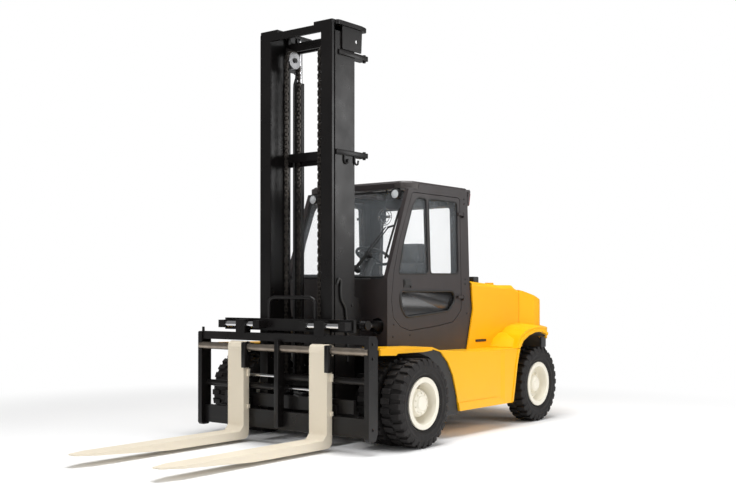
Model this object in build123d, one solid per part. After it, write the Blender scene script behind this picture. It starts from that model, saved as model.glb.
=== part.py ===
from build123d import *
from math import cos, radians, sin
import os

os.makedirs("parts", exist_ok=True)

# Driving sizes in millimetres: +X is the truck's left, -Y its front, +Z up, ground at 0
wheelbase = 2410
load_distance = 716
fork_length = 1836
rear_overhang = 620
overall_length = fork_length + load_distance + wheelbase + rear_overhang
fork_tip_y = -overall_length / 2
fork_face_y = fork_tip_y + fork_length
drive_y = fork_face_y + load_distance
steer_y = drive_y + wheelbase
tail_y = steer_y + rear_overhang

# Wheels
tyre_radius = 400
tyre_width = 228
bead_radius = 200
flange_radius = 238
outer_drive_x = 1046
inner_drive_x = 788
steer_wheel_x = 888
kingpin_x = 760
running_gap = 0.4

# Body widths
side_x = 1000
hood_half = 660
cab_half = 640
cab_wall = 45
glass = 8

# Mast
mast_half = 444
mast_front_y = drive_y - 450
mast_rear_y = drive_y - 123
rail_bottom_z = 110
inner_top = 3838
outer_top_z = inner_top - 68
mast_top_z = inner_top + 28
mast_mid_z = 0.69 * inner_top
tilt_pin_x = 520

# Carriage and forks
frame_half = 1045
fork_x = 504
fork_width = 204
fork_thickness = 72
fork_top_z = 104
shaft_z = 882
shaft_radius = 34
shift_rod_z = 1095
shift_rod_radius = 27

nodes = {}


# Helpers

def aft(distance):
    """A y measured rearward from the drive axle."""
    return drive_y + distance


def aft_outline(points):
    """A side outline measured rearward from the drive axle."""
    return [(aft(y), z) for y, z in points]


def behind(distance):
    """A y measured rearward from the steer axle."""
    return steer_y + distance


def behind_outline(points):
    """A side outline measured rearward from the steer axle."""
    return [(behind(y), z) for y, z in points]


def block(x0, x1, y0, y1, z0, z1):
    """A box between two corners."""
    centre = Pos((x0 + x1) / 2, (y0 + y1) / 2, (z0 + z1) / 2)
    return centre * Box(x1 - x0, y1 - y0, z1 - z0)


def side_slab(points, x0, x1, radius=0):
    """A y-z outline carried from x0 to x1."""
    outline = FilletPolyline(*points, radius=radius, close=True)
    return extrude(Plane.YZ.offset(x0) * make_face(outline), x1 - x0)


def plan_slab(points, z0, z1, radius=0):
    """An x-y outline carried from z0 to z1."""
    outline = FilletPolyline(*points, radius=radius, close=True)
    return extrude(Pos(0, 0, z0) * make_face(outline), z1 - z0)


def front_slab(points, y0, y1, radius=0):
    """An x-z outline carried from y1 forward to y0."""
    outline = FilletPolyline(*points, radius=radius, close=True)
    plane = Plane(origin=(0, y1, 0), x_dir=(1, 0, 0), z_dir=(0, -1, 0))
    return extrude(plane * make_face(outline), y1 - y0)


def rod(start, end, radius):
    """A round bar between two points."""
    path = Vector(*end) - Vector(*start)
    return extrude(Plane(origin=start, z_dir=path) * Circle(radius), path.length)


def cross_rod(x0, x1, y, z, radius):
    """A round bar along the truck's width."""
    return rod((x0, y, z), (x1, y, z), radius)


def faceted(profile, plane, sides=24):
    """A closed (width, radius) profile turned about a plane's normal in flat facets."""
    faces = []
    for i in range(sides):
        turns = [radians(360 * (i + step - 0.5) / sides) for step in (0, 1)]
        for near, far in zip(profile, profile[1:] + profile[:1]):
            ring = [(near, turns[0]), (far, turns[0]), (far, turns[1]), (near, turns[1])]
            corners = []
            for (width, radius), turn in ring:
                corner = (round(radius * cos(turn), 6), round(radius * sin(turn), 6), width)
                if corner not in corners:
                    corners.append(corner)
            if len(corners) > 2:
                spots = [plane.from_local_coords(Vector(*corner)) for corner in corners]
                faces.append(Face(Wire.make_polygon(spots)))
    return Part() + Solid(Shell(faces))


def wheel_plane_at(x, y):
    """The middle plane of a wheel whose axis runs along the truck's width."""
    return Plane(origin=(x, y, tyre_radius), x_dir=(0, 0, -1), z_dir=(1, 0, 0))


def mirrored(shape):
    return mirror(shape, about=Plane.YZ)


def solids_of(*shapes):
    """Several shapes kept as the separate solids of one node."""
    return Compound([solid for shape in shapes for solid in shape.solids()])


def pair(shape):
    """A shape and its twin on the other side, as one node."""
    return solids_of(shape, mirrored(shape))


def joined(shape):
    """A shape fused with its twin on the other side."""
    return shape + mirrored(shape)


# Main frame: two side tanks, cross members, axle seats and engine bearers

tank_inner_x = 420
floor_z = 830
ledge_z = 806
arch_front = [(-604, 260), (-558, 450), (-520, 630), (-485, 740), (-460, 797)]
arch_top = [(-460, 806), (-394, 877), (-274, 932), (-127, 963), (24, 965), (150, 920)]
tank_outline = aft_outline([
    (792, 250), (757, 407), (687, 603), (600, 732), (481, 832), (330, 868), (330, 885), (446, 853),
    (700, 832), (974, 815), (1475, ledge_z),
]) + behind_outline([(-470, ledge_z)] + arch_front[::-1] + [(-614, 250)])
tank = side_slab(tank_outline, tank_inner_x, side_x)
tank -= block(0, cab_half + 2, aft(60), aft(1600), floor_z - 30, 1000)
flare_reach = 12
flare_plan = [
    (side_x - 15, behind(-920)), (side_x + flare_reach, behind(-770)), (side_x + flare_reach, behind(-410)),
    (side_x - 15, behind(-410)),
]
flare = plan_slab(flare_plan, 250, 795) & side_slab(tank_outline, side_x - 20, side_x + 20)
sill_outline = aft_outline([(792, 250), (775, 330)]) + behind_outline([(-920, 330), (-602, 250)])
sill = side_slab(sill_outline, side_x - 20, side_x + 10)
lip_width = 30
lip_reach = 20


def arch_lip(z0, z1):
    """The raised lip of the rear wheel arch between two heights."""
    centre = Vector(0, tyre_radius)
    spots = [Vector(*point) for point in arch_front + arch_top]
    rim = [spot + (spot - centre).normalized() * lip_width for spot in reversed(spots)]
    outline = behind_outline([(spot.X, spot.Y) for spot in spots + rim])
    lip = side_slab(outline, side_x - 15, side_x + lip_reach)
    return lip & block(0, 2 * side_x, behind(-900), behind(900), z0, z1)


seat_rail = block(460, 552, aft(-105), aft(900), 540, 640)
axle_saddle = block(460, 552, aft(-80), aft(80), 521, 545)
bearer = block(230, tank_inner_x + 5, aft(1500), behind(-480), 430, 480)
steer_ear = block(150, 250, behind(-520), behind(150), 560, 640)
half_frame = tank + flare + sill + arch_lip(0, ledge_z - 6) + seat_rail + axle_saddle + bearer + steer_ear
cross_half = tank_inner_x + 5
front_cross = block(-cross_half, cross_half, aft(820), aft(880), 300, 780)
rear_cross = block(-cross_half, cross_half, behind(-570), behind(-510), 300, 480)
axle_cross = block(-cross_half, cross_half, behind(-520), behind(-450), 430, 640)
nodes["main_frame"] = joined(half_frame) + front_cross + rear_cross + axle_cross

# Front fenders with their turned-down edge, and the black wheel-well liners

fender_line = aft_outline([(-470, 904), (330, 885), (330, 871), (-470, 890)])
fender_deck = side_slab(fender_line, 665, side_x)
fender_edge = side_slab(
    aft_outline([(-470, 892), (330, 873), (330, 855), (200, 846), (-215, 850), (-238, 834), (-470, 844)]),
    side_x - 12, side_x + 6)
nodes["front_fenders"] = pair(fender_deck + fender_edge)

liner_line = [
    (-180, 848), (120, 842), (300, 795), (420, 715), (520, 560), (575, 400), (600, 222), (795, 222),
    (792, 250), (757, 407), (687, 603), (600, 732), (481, 832), (330, 868), (120, 873), (-180, 880),
]
liner = side_slab(aft_outline(liner_line), 680, side_x - 14)
nodes["fender_liners"] = pair(liner)

# Counterweight: crowned fender decks over the rear wheels, the upper mass and the mass between the wheels

well_outline = [(-604, 200)] + arch_front + arch_top + [(300, 830), (400, 690), (400, 200)]
well_zone = joined(side_slab(behind_outline(well_outline), 290, 1100))
turning_profile = [(0, 0), (482, 0), (482, 400), (458, 560), (410, 660), (330, 760), (280, 818), (0, 818)]
turning_face = Plane.XZ * make_face(Polyline(*turning_profile, close=True))
turning_rooms = joined(Pos(kingpin_x, steer_y, 0) * revolve(turning_face, Axis.Z))

deck_half = 1005
deck_line = [
    (-545, 770), (-430, 925), (-280, 995), (-60, 1013), (580, 975), (580, 900), (300, 900), (-300, 770)]
deck_round = [0, 120, 250, 500, 0, 0, 0, 0]
deck_face = make_face(FilletPolyline(*behind_outline(deck_line), radius=deck_round, close=True))
deck_run = Vector(hood_half - 5 - deck_half, 190, 37)
deck = extrude(Plane.YZ.offset(deck_half) * deck_face, deck_run.length, dir=deck_run.normalized())
deck_front = behind(-600)
deck_rear = tail_y - 40
deck_plan = [
    (-deck_half, deck_front), (deck_half, deck_front), (deck_half, deck_rear), (-deck_half, deck_rear)]
deck &= plan_slab(deck_plan, ledge_z, 1100, [0, 0, 560, 560])
deck -= block(0, hood_half + 0.3, deck_front, behind(150), 0, 1100)
deck += arch_lip(ledge_z, 1100)

tail_bow = 4000
mass_half = 752
upper_plan = [
    (hood_half, behind(150)), (mass_half, behind(330)), (mass_half, tail_y + 50), (-mass_half, tail_y + 50),
    (-mass_half, behind(330)), (-hood_half, behind(150)),
]
bow_cylinder = Pos(0, tail_y - tail_bow, 900) * Cylinder(tail_bow, 1600)
upper = plan_slab(upper_plan, 880, 1450, [0, 100, 0, 0, 100, 0]) & bow_cylinder
tail_corners = [edge for edge in upper.edges().filter_by(Axis.Z) if edge.center().Y > tail_y - 150]
upper = fillet(tail_corners, 150)
upper_side = [(150, 900), (150, 1416), (200, 1404), (480, 1303), (570, 1262), (650, 1080), (650, 900)]
upper &= side_slab(behind_outline(upper_side), -820, 820, [0, 0, 30, 60, 60, 0, 0])
core_plan = [(-520, behind(160)), (520, behind(160)), (560, tail_y + 40), (-560, tail_y + 40)]
core = plan_slab(core_plan, 330, 950) & Pos(0, -6, 0) * bow_cylinder

grille_half = 330
grille_low = 1000
grille_high = 1200
slat_pitch = 40
grille = block(-grille_half, grille_half, tail_y - 100, tail_y + 60, grille_low, grille_high)
for i in range(1, 5):
    slat_z = grille_low + i * slat_pitch
    grille -= block(-grille_half, grille_half, tail_y - 80, tail_y - 45, slat_z - 5, slat_z + 5)
tow_jaw = block(-75, 75, tail_y - 150, tail_y + 10, 470, 580)
tow_slot = block(-75, 75, tail_y - 150, tail_y + 10, 620, 840)
tow_pin_radius = 20
pin_bore = rod((0, tail_y - 75, 430), (0, tail_y - 75, 640), tow_pin_radius)
cast_mass = joined(deck) + upper + core - well_zone - turning_rooms
nodes["counterweight"] = cast_mass - grille - tow_jaw - tow_slot - pin_bore

# Hood: fixed sides with rounded shoulders, a hinged lid and the plain engine block

lid_half = 520
hood_line = aft_outline([(1485, ledge_z), (1598, 1206), (1568, 1508)]) + behind_outline([
    (-265, 1469), (20, 1470), (80, 1436), (142, 1420), (142, ledge_z)])
hood_solid = side_slab(hood_line, -hood_half, hood_half, [0, 160, 0, 0, 0, 0, 0, 0])
shoulders = [
    edge for edge in hood_solid.edges() if abs(edge.center().X) > hood_half - 1 and edge.center().Z > 1400]
hood_solid = fillet(shoulders, 45)
hood_inner = aft_outline([(1450, 780), (1450, 1498)]) + behind_outline([
    (-265, 1451), (18, 1452), (70, 1420), (130, 1402), (130, 780)])
hood_wall = 16
hood_void = side_slab(hood_inner, -hood_half + hood_wall, hood_half - hood_wall)
hinge_y = behind(30)
hinge_z = 1484
hinge_pin = 7
lid_cut = block(-lid_half, lid_half, aft(1640), behind(10), 1400, 1600)
hinge_notch = block(331, 397, behind(8), behind(52), 1430, 1480)
latch_pocket = block(hood_half - 10, hood_half + 10, aft(1640), aft(1860), 868, 900)
hood_shell = hood_solid - hood_void - lid_cut - joined(latch_pocket + hinge_notch) - well_zone
hood_lug = block(300, 331, behind(13), behind(47), 1440, 1498)
hood_pin = cross_rod(330, 400, hinge_y, hinge_z, hinge_pin)
nodes["hood_sides"] = hood_shell + joined(hood_lug + hood_pin)
lid_line = aft_outline([(1646, 1490), (1646, 1502)]) + behind_outline([
    (-265, 1468.5), (4, 1469.5), (4, 1457.5), (-265, 1456.5)])
lid_plate = side_slab(lid_line, -lid_half + 6, lid_half - 6)
lid_arm = block(336, 392, behind(-30), hinge_y, 1477, 1496)
lid_arm += block(336, 392, behind(-30), behind(2), 1464, 1480)
lid_eye = cross_rod(336, 392, hinge_y, hinge_z, 2 * hinge_pin)
lid_bore = cross_rod(330, 400, hinge_y, hinge_z, hinge_pin + running_gap)
nodes["hood_lid"] = lid_plate + joined(lid_arm + lid_eye) - joined(lid_bore)
engine = block(-225, 225, aft(1640), behind(-80), 640, 1290)
nodes["engine_block"] = engine + block(-280, 280, aft(1640), aft(1880), 480, 700)

# Cab floor, cowl, side frames, rear wall and roof

cowl_y = aft(121)
cab_rear = aft(1500)
inside_half = cab_half - cab_wall
nodes["cab_floor"] = block(-inside_half, inside_half, cowl_y + 40, cab_rear, floor_z - 30, floor_z)

side_outline = aft_outline([
    (121, 806), (121, 1525), (255, 1860), (470, 2398), (1515, 2398), (1554, 1519), (1593, 1206), (1478, 806),
])
door_opening = aft_outline([
    (184, 1320), (226, 1601), (312, 1886), (442, 2178), (528, 2362), (1370, 2362), (1399, 1414), (1399, 1209),
    (1248, 1089), (974, 1056), (491, 1021), (328, 1063), (215, 1151),
])
door_round = [20, 150, 300, 300, 40, 40, 60, 70, 120, 200, 120, 90, 60]
door_hinge_x = cab_half + 18
door_pin = 7
door_hinge_y = aft(1412)
door_hinge_zs = [1330, 2180]
side_round = [0, 40, 120, 20, 20, 200, 160, 20]
side_wall = side_slab(side_outline, inside_half, cab_half, side_round)
side_wall -= side_slab(door_opening, inside_half - 5, cab_half + 5, door_round)
hinge_pins = Part()
for z in door_hinge_zs:
    hinge_pins += block(cab_half - 2, door_hinge_x + 8, door_hinge_y - 8, door_hinge_y + 40, z - 20, z - 6)
    hinge_pins += rod((door_hinge_x, door_hinge_y, z - 10), (door_hinge_x, door_hinge_y, z + 32), door_pin)
cab_side = side_wall + hinge_pins
nodes["cab_side_left"] = cab_side
nodes["cab_side_right"] = mirrored(cab_side)

cowl_wall = block(-cab_half, cab_half, cowl_y, cowl_y + 40, floor_z - 30, 1516)
cowl_wall -= joined(block(inside_half, cab_half + 5, cowl_y - 5, cowl_y + 45, 700, 1600))
tilt_hole = rod((tilt_pin_x, cowl_y - 10, 1075), (tilt_pin_x, cowl_y + 50, 1075), 78)
dash_line = aft_outline([(161, 1380), (161, 1516), (260, 1516), (330, 1440), (300, 1380)])
dash = side_slab(dash_line, -inside_half, inside_half)
tilt_base_y = aft(560)
tilt_base_z = 1040
tilt_pin_radius = 22
tilt_ear_line = [
    (tilt_base_y - 45, floor_z), (tilt_base_y + 45, floor_z), (tilt_base_y + 30, 1075),
    (tilt_base_y - 30, 1075),
]
tilt_ear = side_slab(tilt_ear_line, tilt_pin_x - 88, tilt_pin_x - 64, [0, 0, 20, 20])
tilt_post_pin = cross_rod(tilt_pin_x - 70, tilt_pin_x + 34, tilt_base_y, tilt_base_z, tilt_pin_radius)
nodes["cab_cowl"] = cowl_wall + dash - joined(tilt_hole)
nodes["tilt_anchors"] = pair(tilt_ear + tilt_post_pin)

rear_wall_line = aft_outline([
    (1460, floor_z), (1500, floor_z), (1500, 1200), (1512, 2398), (1470, 2398), (1460, 1200)])
rear_wall = side_slab(rear_wall_line, -inside_half, inside_half)
rear_opening = front_slab([(-470, 1560), (470, 1560), (450, 2290), (-450, 2290)], aft(1400), aft(1600), 50)
nodes["cab_rear_wall"] = rear_wall - rear_opening

roof_z = 2398
roof_plan = [
    (-570, aft(455)), (570, aft(455)), (cab_half, aft(560)), (cab_half, aft(1560)), (-cab_half, aft(1560)),
    (-cab_half, aft(560)),
]
roof_solid = plan_slab(roof_plan, roof_z, 2470, [70, 70, 60, 60, 60, 60])
roof_solid = chamfer(roof_solid.faces().sort_by(Axis.Z)[-1].edges(), 22)
roof_opening = plan_slab(
    [(-420, aft(620)), (420, aft(620)), (420, aft(1400)), (-420, aft(1400))], 2300, 2500, 60)
rain_drop = side_slab(
    aft_outline([(1524, 2400), (1525, 2300), (1545, 2290), (1575, 2440), (1560, 2460)]), 560, cab_half)
nodes["cab_roof"] = roof_solid - roof_opening + joined(rain_drop)
tail_lamp = side_slab(aft_outline([(1548, 2305), (1572, 2425), (1596, 2420), (1572, 2300)]), 572, 628)
nodes["tail_lamps"] = pair(tail_lamp)

# Cab glass

windshield_line = aft_outline([(166, 1517), (512, 2396), (504, 2397.5), (158, 1518.5)])
windshield = side_slab(windshield_line, -inside_half + running_gap, inside_half - running_gap)
rear_glass = front_slab(
    [(-469.6, 1560.4), (469.6, 1560.4), (449.6, 2289.6), (-449.6, 2289.6)], aft(1478), aft(1478 + glass), 50)
roof_glass = plan_slab(
    [(-419.6, aft(620.4)), (419.6, aft(620.4)), (419.6, aft(1399.6)), (-419.6, aft(1399.6))],
    2425, 2425 + glass, 60)
nodes["cab_glass"] = solids_of(windshield, rear_glass, roof_glass)

# Doors with a split upper window and a rounded lower window

door_gap = 6
door_x0 = inside_half + 4
door_x1 = cab_half - 1


def shrunk(outline, radius, amount):
    """The face of an outline drawn in by an amount."""
    face = make_face(FilletPolyline(*outline, radius=radius, close=True))
    return offset(face, -amount)


def door_part(outline, radius, x0, x1, amount=0):
    face = shrunk(outline, radius, amount) if amount else make_face(
        FilletPolyline(*outline, radius=radius, close=True))
    return extrude(Plane.YZ.offset(x0) * face, x1 - x0)


front_pane = aft_outline([(303, 1565), (386, 1880), (532, 2230), (610, 2312), (765, 2312), (800, 1572)])
front_round = [30, 200, 200, 60, 30, 30]
rear_pane = aft_outline([(836, 1573), (800, 2312), (1318, 2312), (1346, 1578)])
lower_pane = aft_outline([(328, 1404), (1248, 1404), (1280, 1313), (1174, 1202), (425, 1151), (328, 1262)])
lower_round = [40, 60, 70, 90, 80, 60]
door = door_part(door_opening, door_round, door_x0, door_x1, door_gap)
panes = [(front_pane, front_round), (rear_pane, 30), (lower_pane, lower_round)]
for outline, radius in panes:
    door -= door_part(outline, radius, door_x0 - 5, door_x1 + 5)
for z in door_hinge_zs:
    leaf = block(cab_half + 4, door_hinge_x + 6, door_hinge_y - 100, door_hinge_y, z, z + 26)
    leaf += block(door_x1 - 4, cab_half + 5, door_hinge_y - 100, door_hinge_y - 52, z, z + 26)
    eye = rod((door_hinge_x, door_hinge_y, z), (door_hinge_x, door_hinge_y, z + 26), 2 * door_pin)
    eye_low = (door_hinge_x, door_hinge_y, z - 5)
    eye_high = (door_hinge_x, door_hinge_y, z + 35)
    door += leaf + eye
    door -= rod(eye_low, eye_high, door_pin + running_gap)
door_glass = [
    door_part(outline, radius, door_x0 + 18, door_x0 + 18 + glass, running_gap) for outline, radius in panes]
nodes["door_left"] = door
nodes["door_right"] = mirrored(door)
nodes["door_glass_left"] = solids_of(*door_glass)
nodes["door_glass_right"] = mirrored(solids_of(*door_glass))

# Seat, steering column and wheel

seat_y = aft(1090)
pedestal = block(-230, 230, seat_y - 200, seat_y + 260, floor_z, 1180)
cushion = side_slab(
    [(seat_y - 260, 1180), (seat_y + 230, 1180), (seat_y + 230, 1290), (seat_y - 260, 1310)], -250, 250, 40)
backrest = side_slab(
    [(seat_y + 150, 1270), (seat_y + 270, 1270), (seat_y + 330, 1930), (seat_y + 240, 1930)], -240, 240, 40)
nodes["seat"] = pedestal + cushion + backrest
wheel_centre = (0, aft(745), 1760)
column_foot = (0, aft(360), 1010)
column_path = Vector(*wheel_centre) - Vector(*column_foot)
column_dir = column_path.normalized()
column_top = tuple(Vector(*wheel_centre) - column_dir * 45)
shaft_end = 14
pillar = block(-110, 110, aft(260), aft(430), floor_z, 1120)
column = rod(column_foot, column_top, 42) + rod(column_top, wheel_centre, shaft_end)
nodes["steering_column"] = pillar + column
wheel_plane = Plane(origin=wheel_centre, z_dir=column_dir)
ring_profile = [(-13, 170), (-13, 186), (0, 193), (13, 186), (13, 170), (0, 163)]
ring = faceted(ring_profile, wheel_plane)
hub_base = Vector(*wheel_centre) - column_dir * 30
hub = extrude(Plane(origin=hub_base, z_dir=column_dir) * Circle(40), 55)
spokes = Part()
for angle in (90, 210, 330):
    spokes += wheel_plane * Rot(0, 0, angle) * Pos(105, 0, 0) * Box(150, 34, 14)
bore_plane = Plane(origin=hub_base - column_dir * 5, z_dir=column_dir)
shaft_bore = extrude(bore_plane * Circle(shaft_end + running_gap), 36)
nodes["steering_wheel"] = ring + hub + spokes - shaft_bore

# Lamps under the roof's front edge

lamp_x = 520
lamp_z = 2338
lamp = rod((lamp_x, aft(408), lamp_z), (lamp_x, aft(446), lamp_z), 50)
lamp += block(lamp_x - 12, lamp_x + 12, aft(425), aft(480), lamp_z + 46, roof_z)
nodes["work_lamps"] = pair(lamp)

# Drive axle with mast journals and wheel spindles

axle_radius = 118
spindle_radius = 70
axle_tube = cross_rod(-600, 600, drive_y, tyre_radius, axle_radius)
bowl_profile = [(-150, 0), (-135, 66), (-85, 126), (0, 155), (85, 126), (135, 66), (150, 0)]
differential = faceted(bowl_profile, wheel_plane_at(0, aft(40)))
spindle = cross_rod(590, 950, drive_y, tyre_radius, spindle_radius)
brake = cross_rod(560, 668, drive_y, tyre_radius, 168)
saddle = block(460, 552, drive_y - 80, drive_y + 80, 440, 521)
nodes["drive_axle"] = axle_tube + differential + joined(spindle + brake + saddle)

# Wheels

half = tyre_width / 2
lug_count = 28
lug_half = 27
tread_depth = 22
groove_radius = tyre_radius - tread_depth
carcass = [
    (-78, bead_radius + 2), (-78, 241), (-108, 280), (-half + 3, 330), (-100, groove_radius),
    (100, groove_radius), (half - 3, 330), (108, 280), (78, 241), (78, bead_radius + 2),
]
half_pitch = radians(180 / lug_count)
lug_top = (tyre_radius - lug_half * sin(half_pitch)) / cos(half_pitch)
lug_profile = [(6, 360), (6, lug_top), (98, lug_top), (half, 350), (half - 8, 322), (80, 340)]


def tread_lug(turn, side):
    """One shoulder lug of the tyre at the origin, at a turn about its axis and on one of its two sides."""
    outline = [(side * width, -radius) for width, radius in lug_profile]
    lug = extrude(Plane.XZ.offset(-lug_half) * make_face(Polyline(*outline, close=True)), 2 * lug_half)
    return Rot(turn, 0, 0) * lug


origin_plane = Plane(origin=(0, 0, 0), x_dir=(0, 0, -1), z_dir=(1, 0, 0))
plain_tyre = faceted(carcass, origin_plane, lug_count)
lug_pitch = 360 / lug_count
lugs = [tread_lug(i * lug_pitch, 1) for i in range(lug_count)]
lugs += [tread_lug((i + 0.5) * lug_pitch, -1) for i in range(lug_count)]
lugged_tyre = plain_tyre + lugs


def tyre(x, y):
    return Pos(x, y, tyre_radius) * lugged_tyre


def rim_section(x):
    """The rim's barrel and flanges from its inner edge outward, a little clear of the tyre's beads."""
    flange_in = 78 + 2 * running_gap
    flange_out = 98
    return [
        (x - flange_out, barrel_radius), (x - flange_out, flange_radius), (x - flange_in, flange_radius),
        (x - flange_in, bead_radius), (x + flange_in, bead_radius), (x + flange_in, flange_radius),
        (x + flange_out, flange_radius), (x + flange_out, barrel_radius),
    ]


barrel_radius = 188
drive_profile = [(690, 0), (690, 120), (838, 135), (838, barrel_radius)] + rim_section(inner_drive_x)
drive_profile += [(856, barrel_radius), (856, 135), (978, 135), (978, barrel_radius)]
drive_profile += rim_section(outer_drive_x)
drive_profile += [(996, barrel_radius), (996, 135), (1080, 122), (1112, 100), (1124, 60), (1124, 0)]
drive_rims = faceted(drive_profile, wheel_plane_at(0, drive_y))
drive_rims -= cross_rod(680, 956, drive_y, tyre_radius, spindle_radius + running_gap)
drive_tyres = solids_of(tyre(outer_drive_x, drive_y), tyre(inner_drive_x, drive_y))
nodes["drive_tyres_left"] = drive_tyres
nodes["drive_tyres_right"] = mirrored(drive_tyres)
nodes["drive_rims_left"] = drive_rims
nodes["drive_rims_right"] = mirrored(drive_rims)

knuckle_radius = 52
steer_profile = [(846, 0), (846, 88), (866, 90), (866, barrel_radius)] + rim_section(steer_wheel_x)
steer_profile += [(884, barrel_radius), (884, 92), (930, 96), (948, 84), (962, 60), (966, 0)]
steer_rim = faceted(steer_profile, wheel_plane_at(0, steer_y))
steer_rim -= cross_rod(840, 936, steer_y, tyre_radius, knuckle_radius + running_gap)
steer_tyre = tyre(steer_wheel_x, steer_y)
nodes["steer_tyre_left"] = steer_tyre
nodes["steer_tyre_right"] = mirrored(steer_tyre)
nodes["steer_rim_left"] = steer_rim
nodes["steer_rim_right"] = mirrored(steer_rim)

# Steer axle with kingpins, and the knuckles that turn on them

beam_half = kingpin_x - 70
beam = block(-beam_half, beam_half, steer_y - 75, steer_y + 75, 330, 470)
hanger = block(-260, 260, steer_y - 75, steer_y + 75, 460, 560)
yoke_y0 = steer_y - 55
yoke_y1 = steer_y + 55
yoke_x0 = kingpin_x - 120
yoke_x1 = kingpin_x - 70
yoke_x2 = kingpin_x + 40
yoke = block(yoke_x1 - 10, yoke_x2, yoke_y0, yoke_y1, 470, 505)
yoke += block(yoke_x0, yoke_x1, yoke_y0, yoke_y1, 440, 505)
yoke += block(yoke_x1 - 10, yoke_x2, yoke_y0, yoke_y1, 295, 330)
yoke += block(yoke_x0, yoke_x1, yoke_y0, yoke_y1, 295, 360)
kingpin_low = (kingpin_x, steer_y, 300)
kingpin_high = (kingpin_x, steer_y, 500)
kingpin_radius = 28
kingpin = rod(kingpin_low, kingpin_high, kingpin_radius)
nodes["steer_axle"] = beam + hanger + joined(yoke + kingpin)
knuckle_z0 = 338
knuckle_z1 = 462
knuckle = rod((kingpin_x, steer_y, knuckle_z0), (kingpin_x, steer_y, knuckle_z1), knuckle_radius)
knuckle += block(
    kingpin_x, kingpin_x + 66, steer_y - knuckle_radius, steer_y + knuckle_radius, knuckle_z0, knuckle_z1)
knuckle += cross_rod(kingpin_x + 60, kingpin_x + 170, steer_y, tyre_radius, knuckle_radius)
knuckle -= rod(kingpin_low, kingpin_high, kingpin_radius + running_gap)
nodes["knuckle_left"] = knuckle
nodes["knuckle_right"] = mirrored(knuckle)

# Outer mast: channels, ties, axle hooks and tilt lugs

web_in = 420
pocket_in = 386
outer_front = aft(-405)
flange_front = outer_front + 28
flange_rear = mast_rear_y - 30
outer_channel = plan_slab([
    (mast_half, outer_front), (mast_half, mast_rear_y), (pocket_in, mast_rear_y), (pocket_in, flange_rear),
    (web_in, flange_rear), (web_in, flange_front), (pocket_in, flange_front), (pocket_in, outer_front),
], rail_bottom_z, outer_top_z)
hook_line = aft_outline([
    (-130, 230), (-130, 640), (-40, 560), (100, 530), (165, 460), (165, 320), (100, 260), (-20, 230)])
hook = side_slab(hook_line, 396, mast_half, [0, 0, 60, 60, 60, 60, 60, 40])
hook -= cross_rod(390, mast_half + 5, drive_y, tyre_radius, axle_radius + running_gap)
tilt_lug_line = aft_outline([
    (-130, 860), (-60, 960), (-26, 1060), (-26, 1150), (-60, 1330), (-130, 1360)])
tilt_lug = side_slab(tilt_lug_line, web_in, mast_half, [0, 60, 60, 60, 40, 0])
tilt_eye_y = aft(-70)
tilt_eye_z = 1085
tilt_pin = cross_rod(mast_half - 5, tilt_pin_x + 34, tilt_eye_y, tilt_eye_z, tilt_pin_radius)
outer_half = outer_channel + hook + tilt_lug + tilt_pin
clamp_pin_x = mast_half - 14
clamp_pin_y = aft(40)
for clamp_z in (inner_top - 278, mast_mid_z):
    outer_half += block(360, mast_half + 14, mast_rear_y - 10, clamp_pin_y + 22, clamp_z, clamp_z + 45)
    pin_low = (clamp_pin_x, clamp_pin_y, clamp_z - 14)
    outer_half += rod(pin_low, (clamp_pin_x, clamp_pin_y, clamp_z + 59), 15)
outer_ties = Part()
for z0, z1 in [(170, 330), (mast_mid_z - 48, mast_mid_z + 2), (outer_top_z - 80, outer_top_z)]:
    outer_ties += block(-pocket_in - 4, pocket_in + 4, flange_rear + 4, mast_rear_y, z0, z1)
cylinder_x = 296
cylinder_y = aft(-66)
lift_rod_radius = 36
foot = block(cylinder_x - 66, 400, mast_rear_y - 20, aft(0), 560, 600)
chain_foot = block(180, 230, aft(-180), mast_rear_y - 20, 290, 330)
outer_half += foot + chain_foot
nodes["outer_mast"] = joined(outer_half) + outer_ties

barrel_top = inner_top - 418
barrel = rod((cylinder_x, cylinder_y, 600), (cylinder_x, cylinder_y, barrel_top), 54)
lift_bore_radius = lift_rod_radius + running_gap
barrel -= rod((cylinder_x, cylinder_y, 640), (cylinder_x, cylinder_y, barrel_top + 5), lift_bore_radius)
nodes["lift_cylinders"] = pair(barrel)

# Inner mast: channels with a wide front flange, ties, rollers, crosshead and sheaves

inner_web_in = 348
inner_web_out = 372
inner_bottom = 150
inner_channel = plan_slab([
    (mast_half, mast_front_y), (mast_half, mast_front_y + 28), (inner_web_out, mast_front_y + 28),
    (inner_web_out, aft(-166)), (312, aft(-166)), (312, aft(-194)), (inner_web_in, aft(-194)),
    (inner_web_in, mast_front_y + 28), (312, mast_front_y + 28), (312, mast_front_y),
], inner_bottom, inner_top)
crosshead_plan = [
    (225, mast_front_y), (mast_half, mast_front_y), (mast_half, aft(0)), (400, aft(70)), (330, aft(96)),
    (225, aft(60)),
]
crosshead = plan_slab(crosshead_plan, inner_top - 2, mast_top_z, [0, 10, 40, 60, 60, 40])
inner_ties = block(-318, 318, mast_front_y, mast_front_y + 28, inner_top - 70, inner_top)
for z0, z1 in [(420, 560), (mast_mid_z - 8, mast_mid_z + 72), (inner_top - 138, inner_top - 58)]:
    inner_ties += block(-296, 296, aft(-206), aft(-182), z0, z1)
    inner_ties += joined(block(286, 320, aft(-192), aft(-168), z0, z1))
roller_radius = (flange_rear - flange_front) / 2 - running_gap
roller_y = (flange_rear + flange_front) / 2
mast_roller = cross_rod(inner_web_out - 2, web_in - 4, roller_y, 480, roller_radius)
sheave_x = 205
sheave_y = aft(-256)
sheave_z = inner_top - 238
sheave_radius = 80
sheave_plate = block(sheave_x + 34, sheave_x + 50, aft(-300), aft(-184), sheave_z - 40, sheave_z + 120)
sheave_pin_radius = 24
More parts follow.
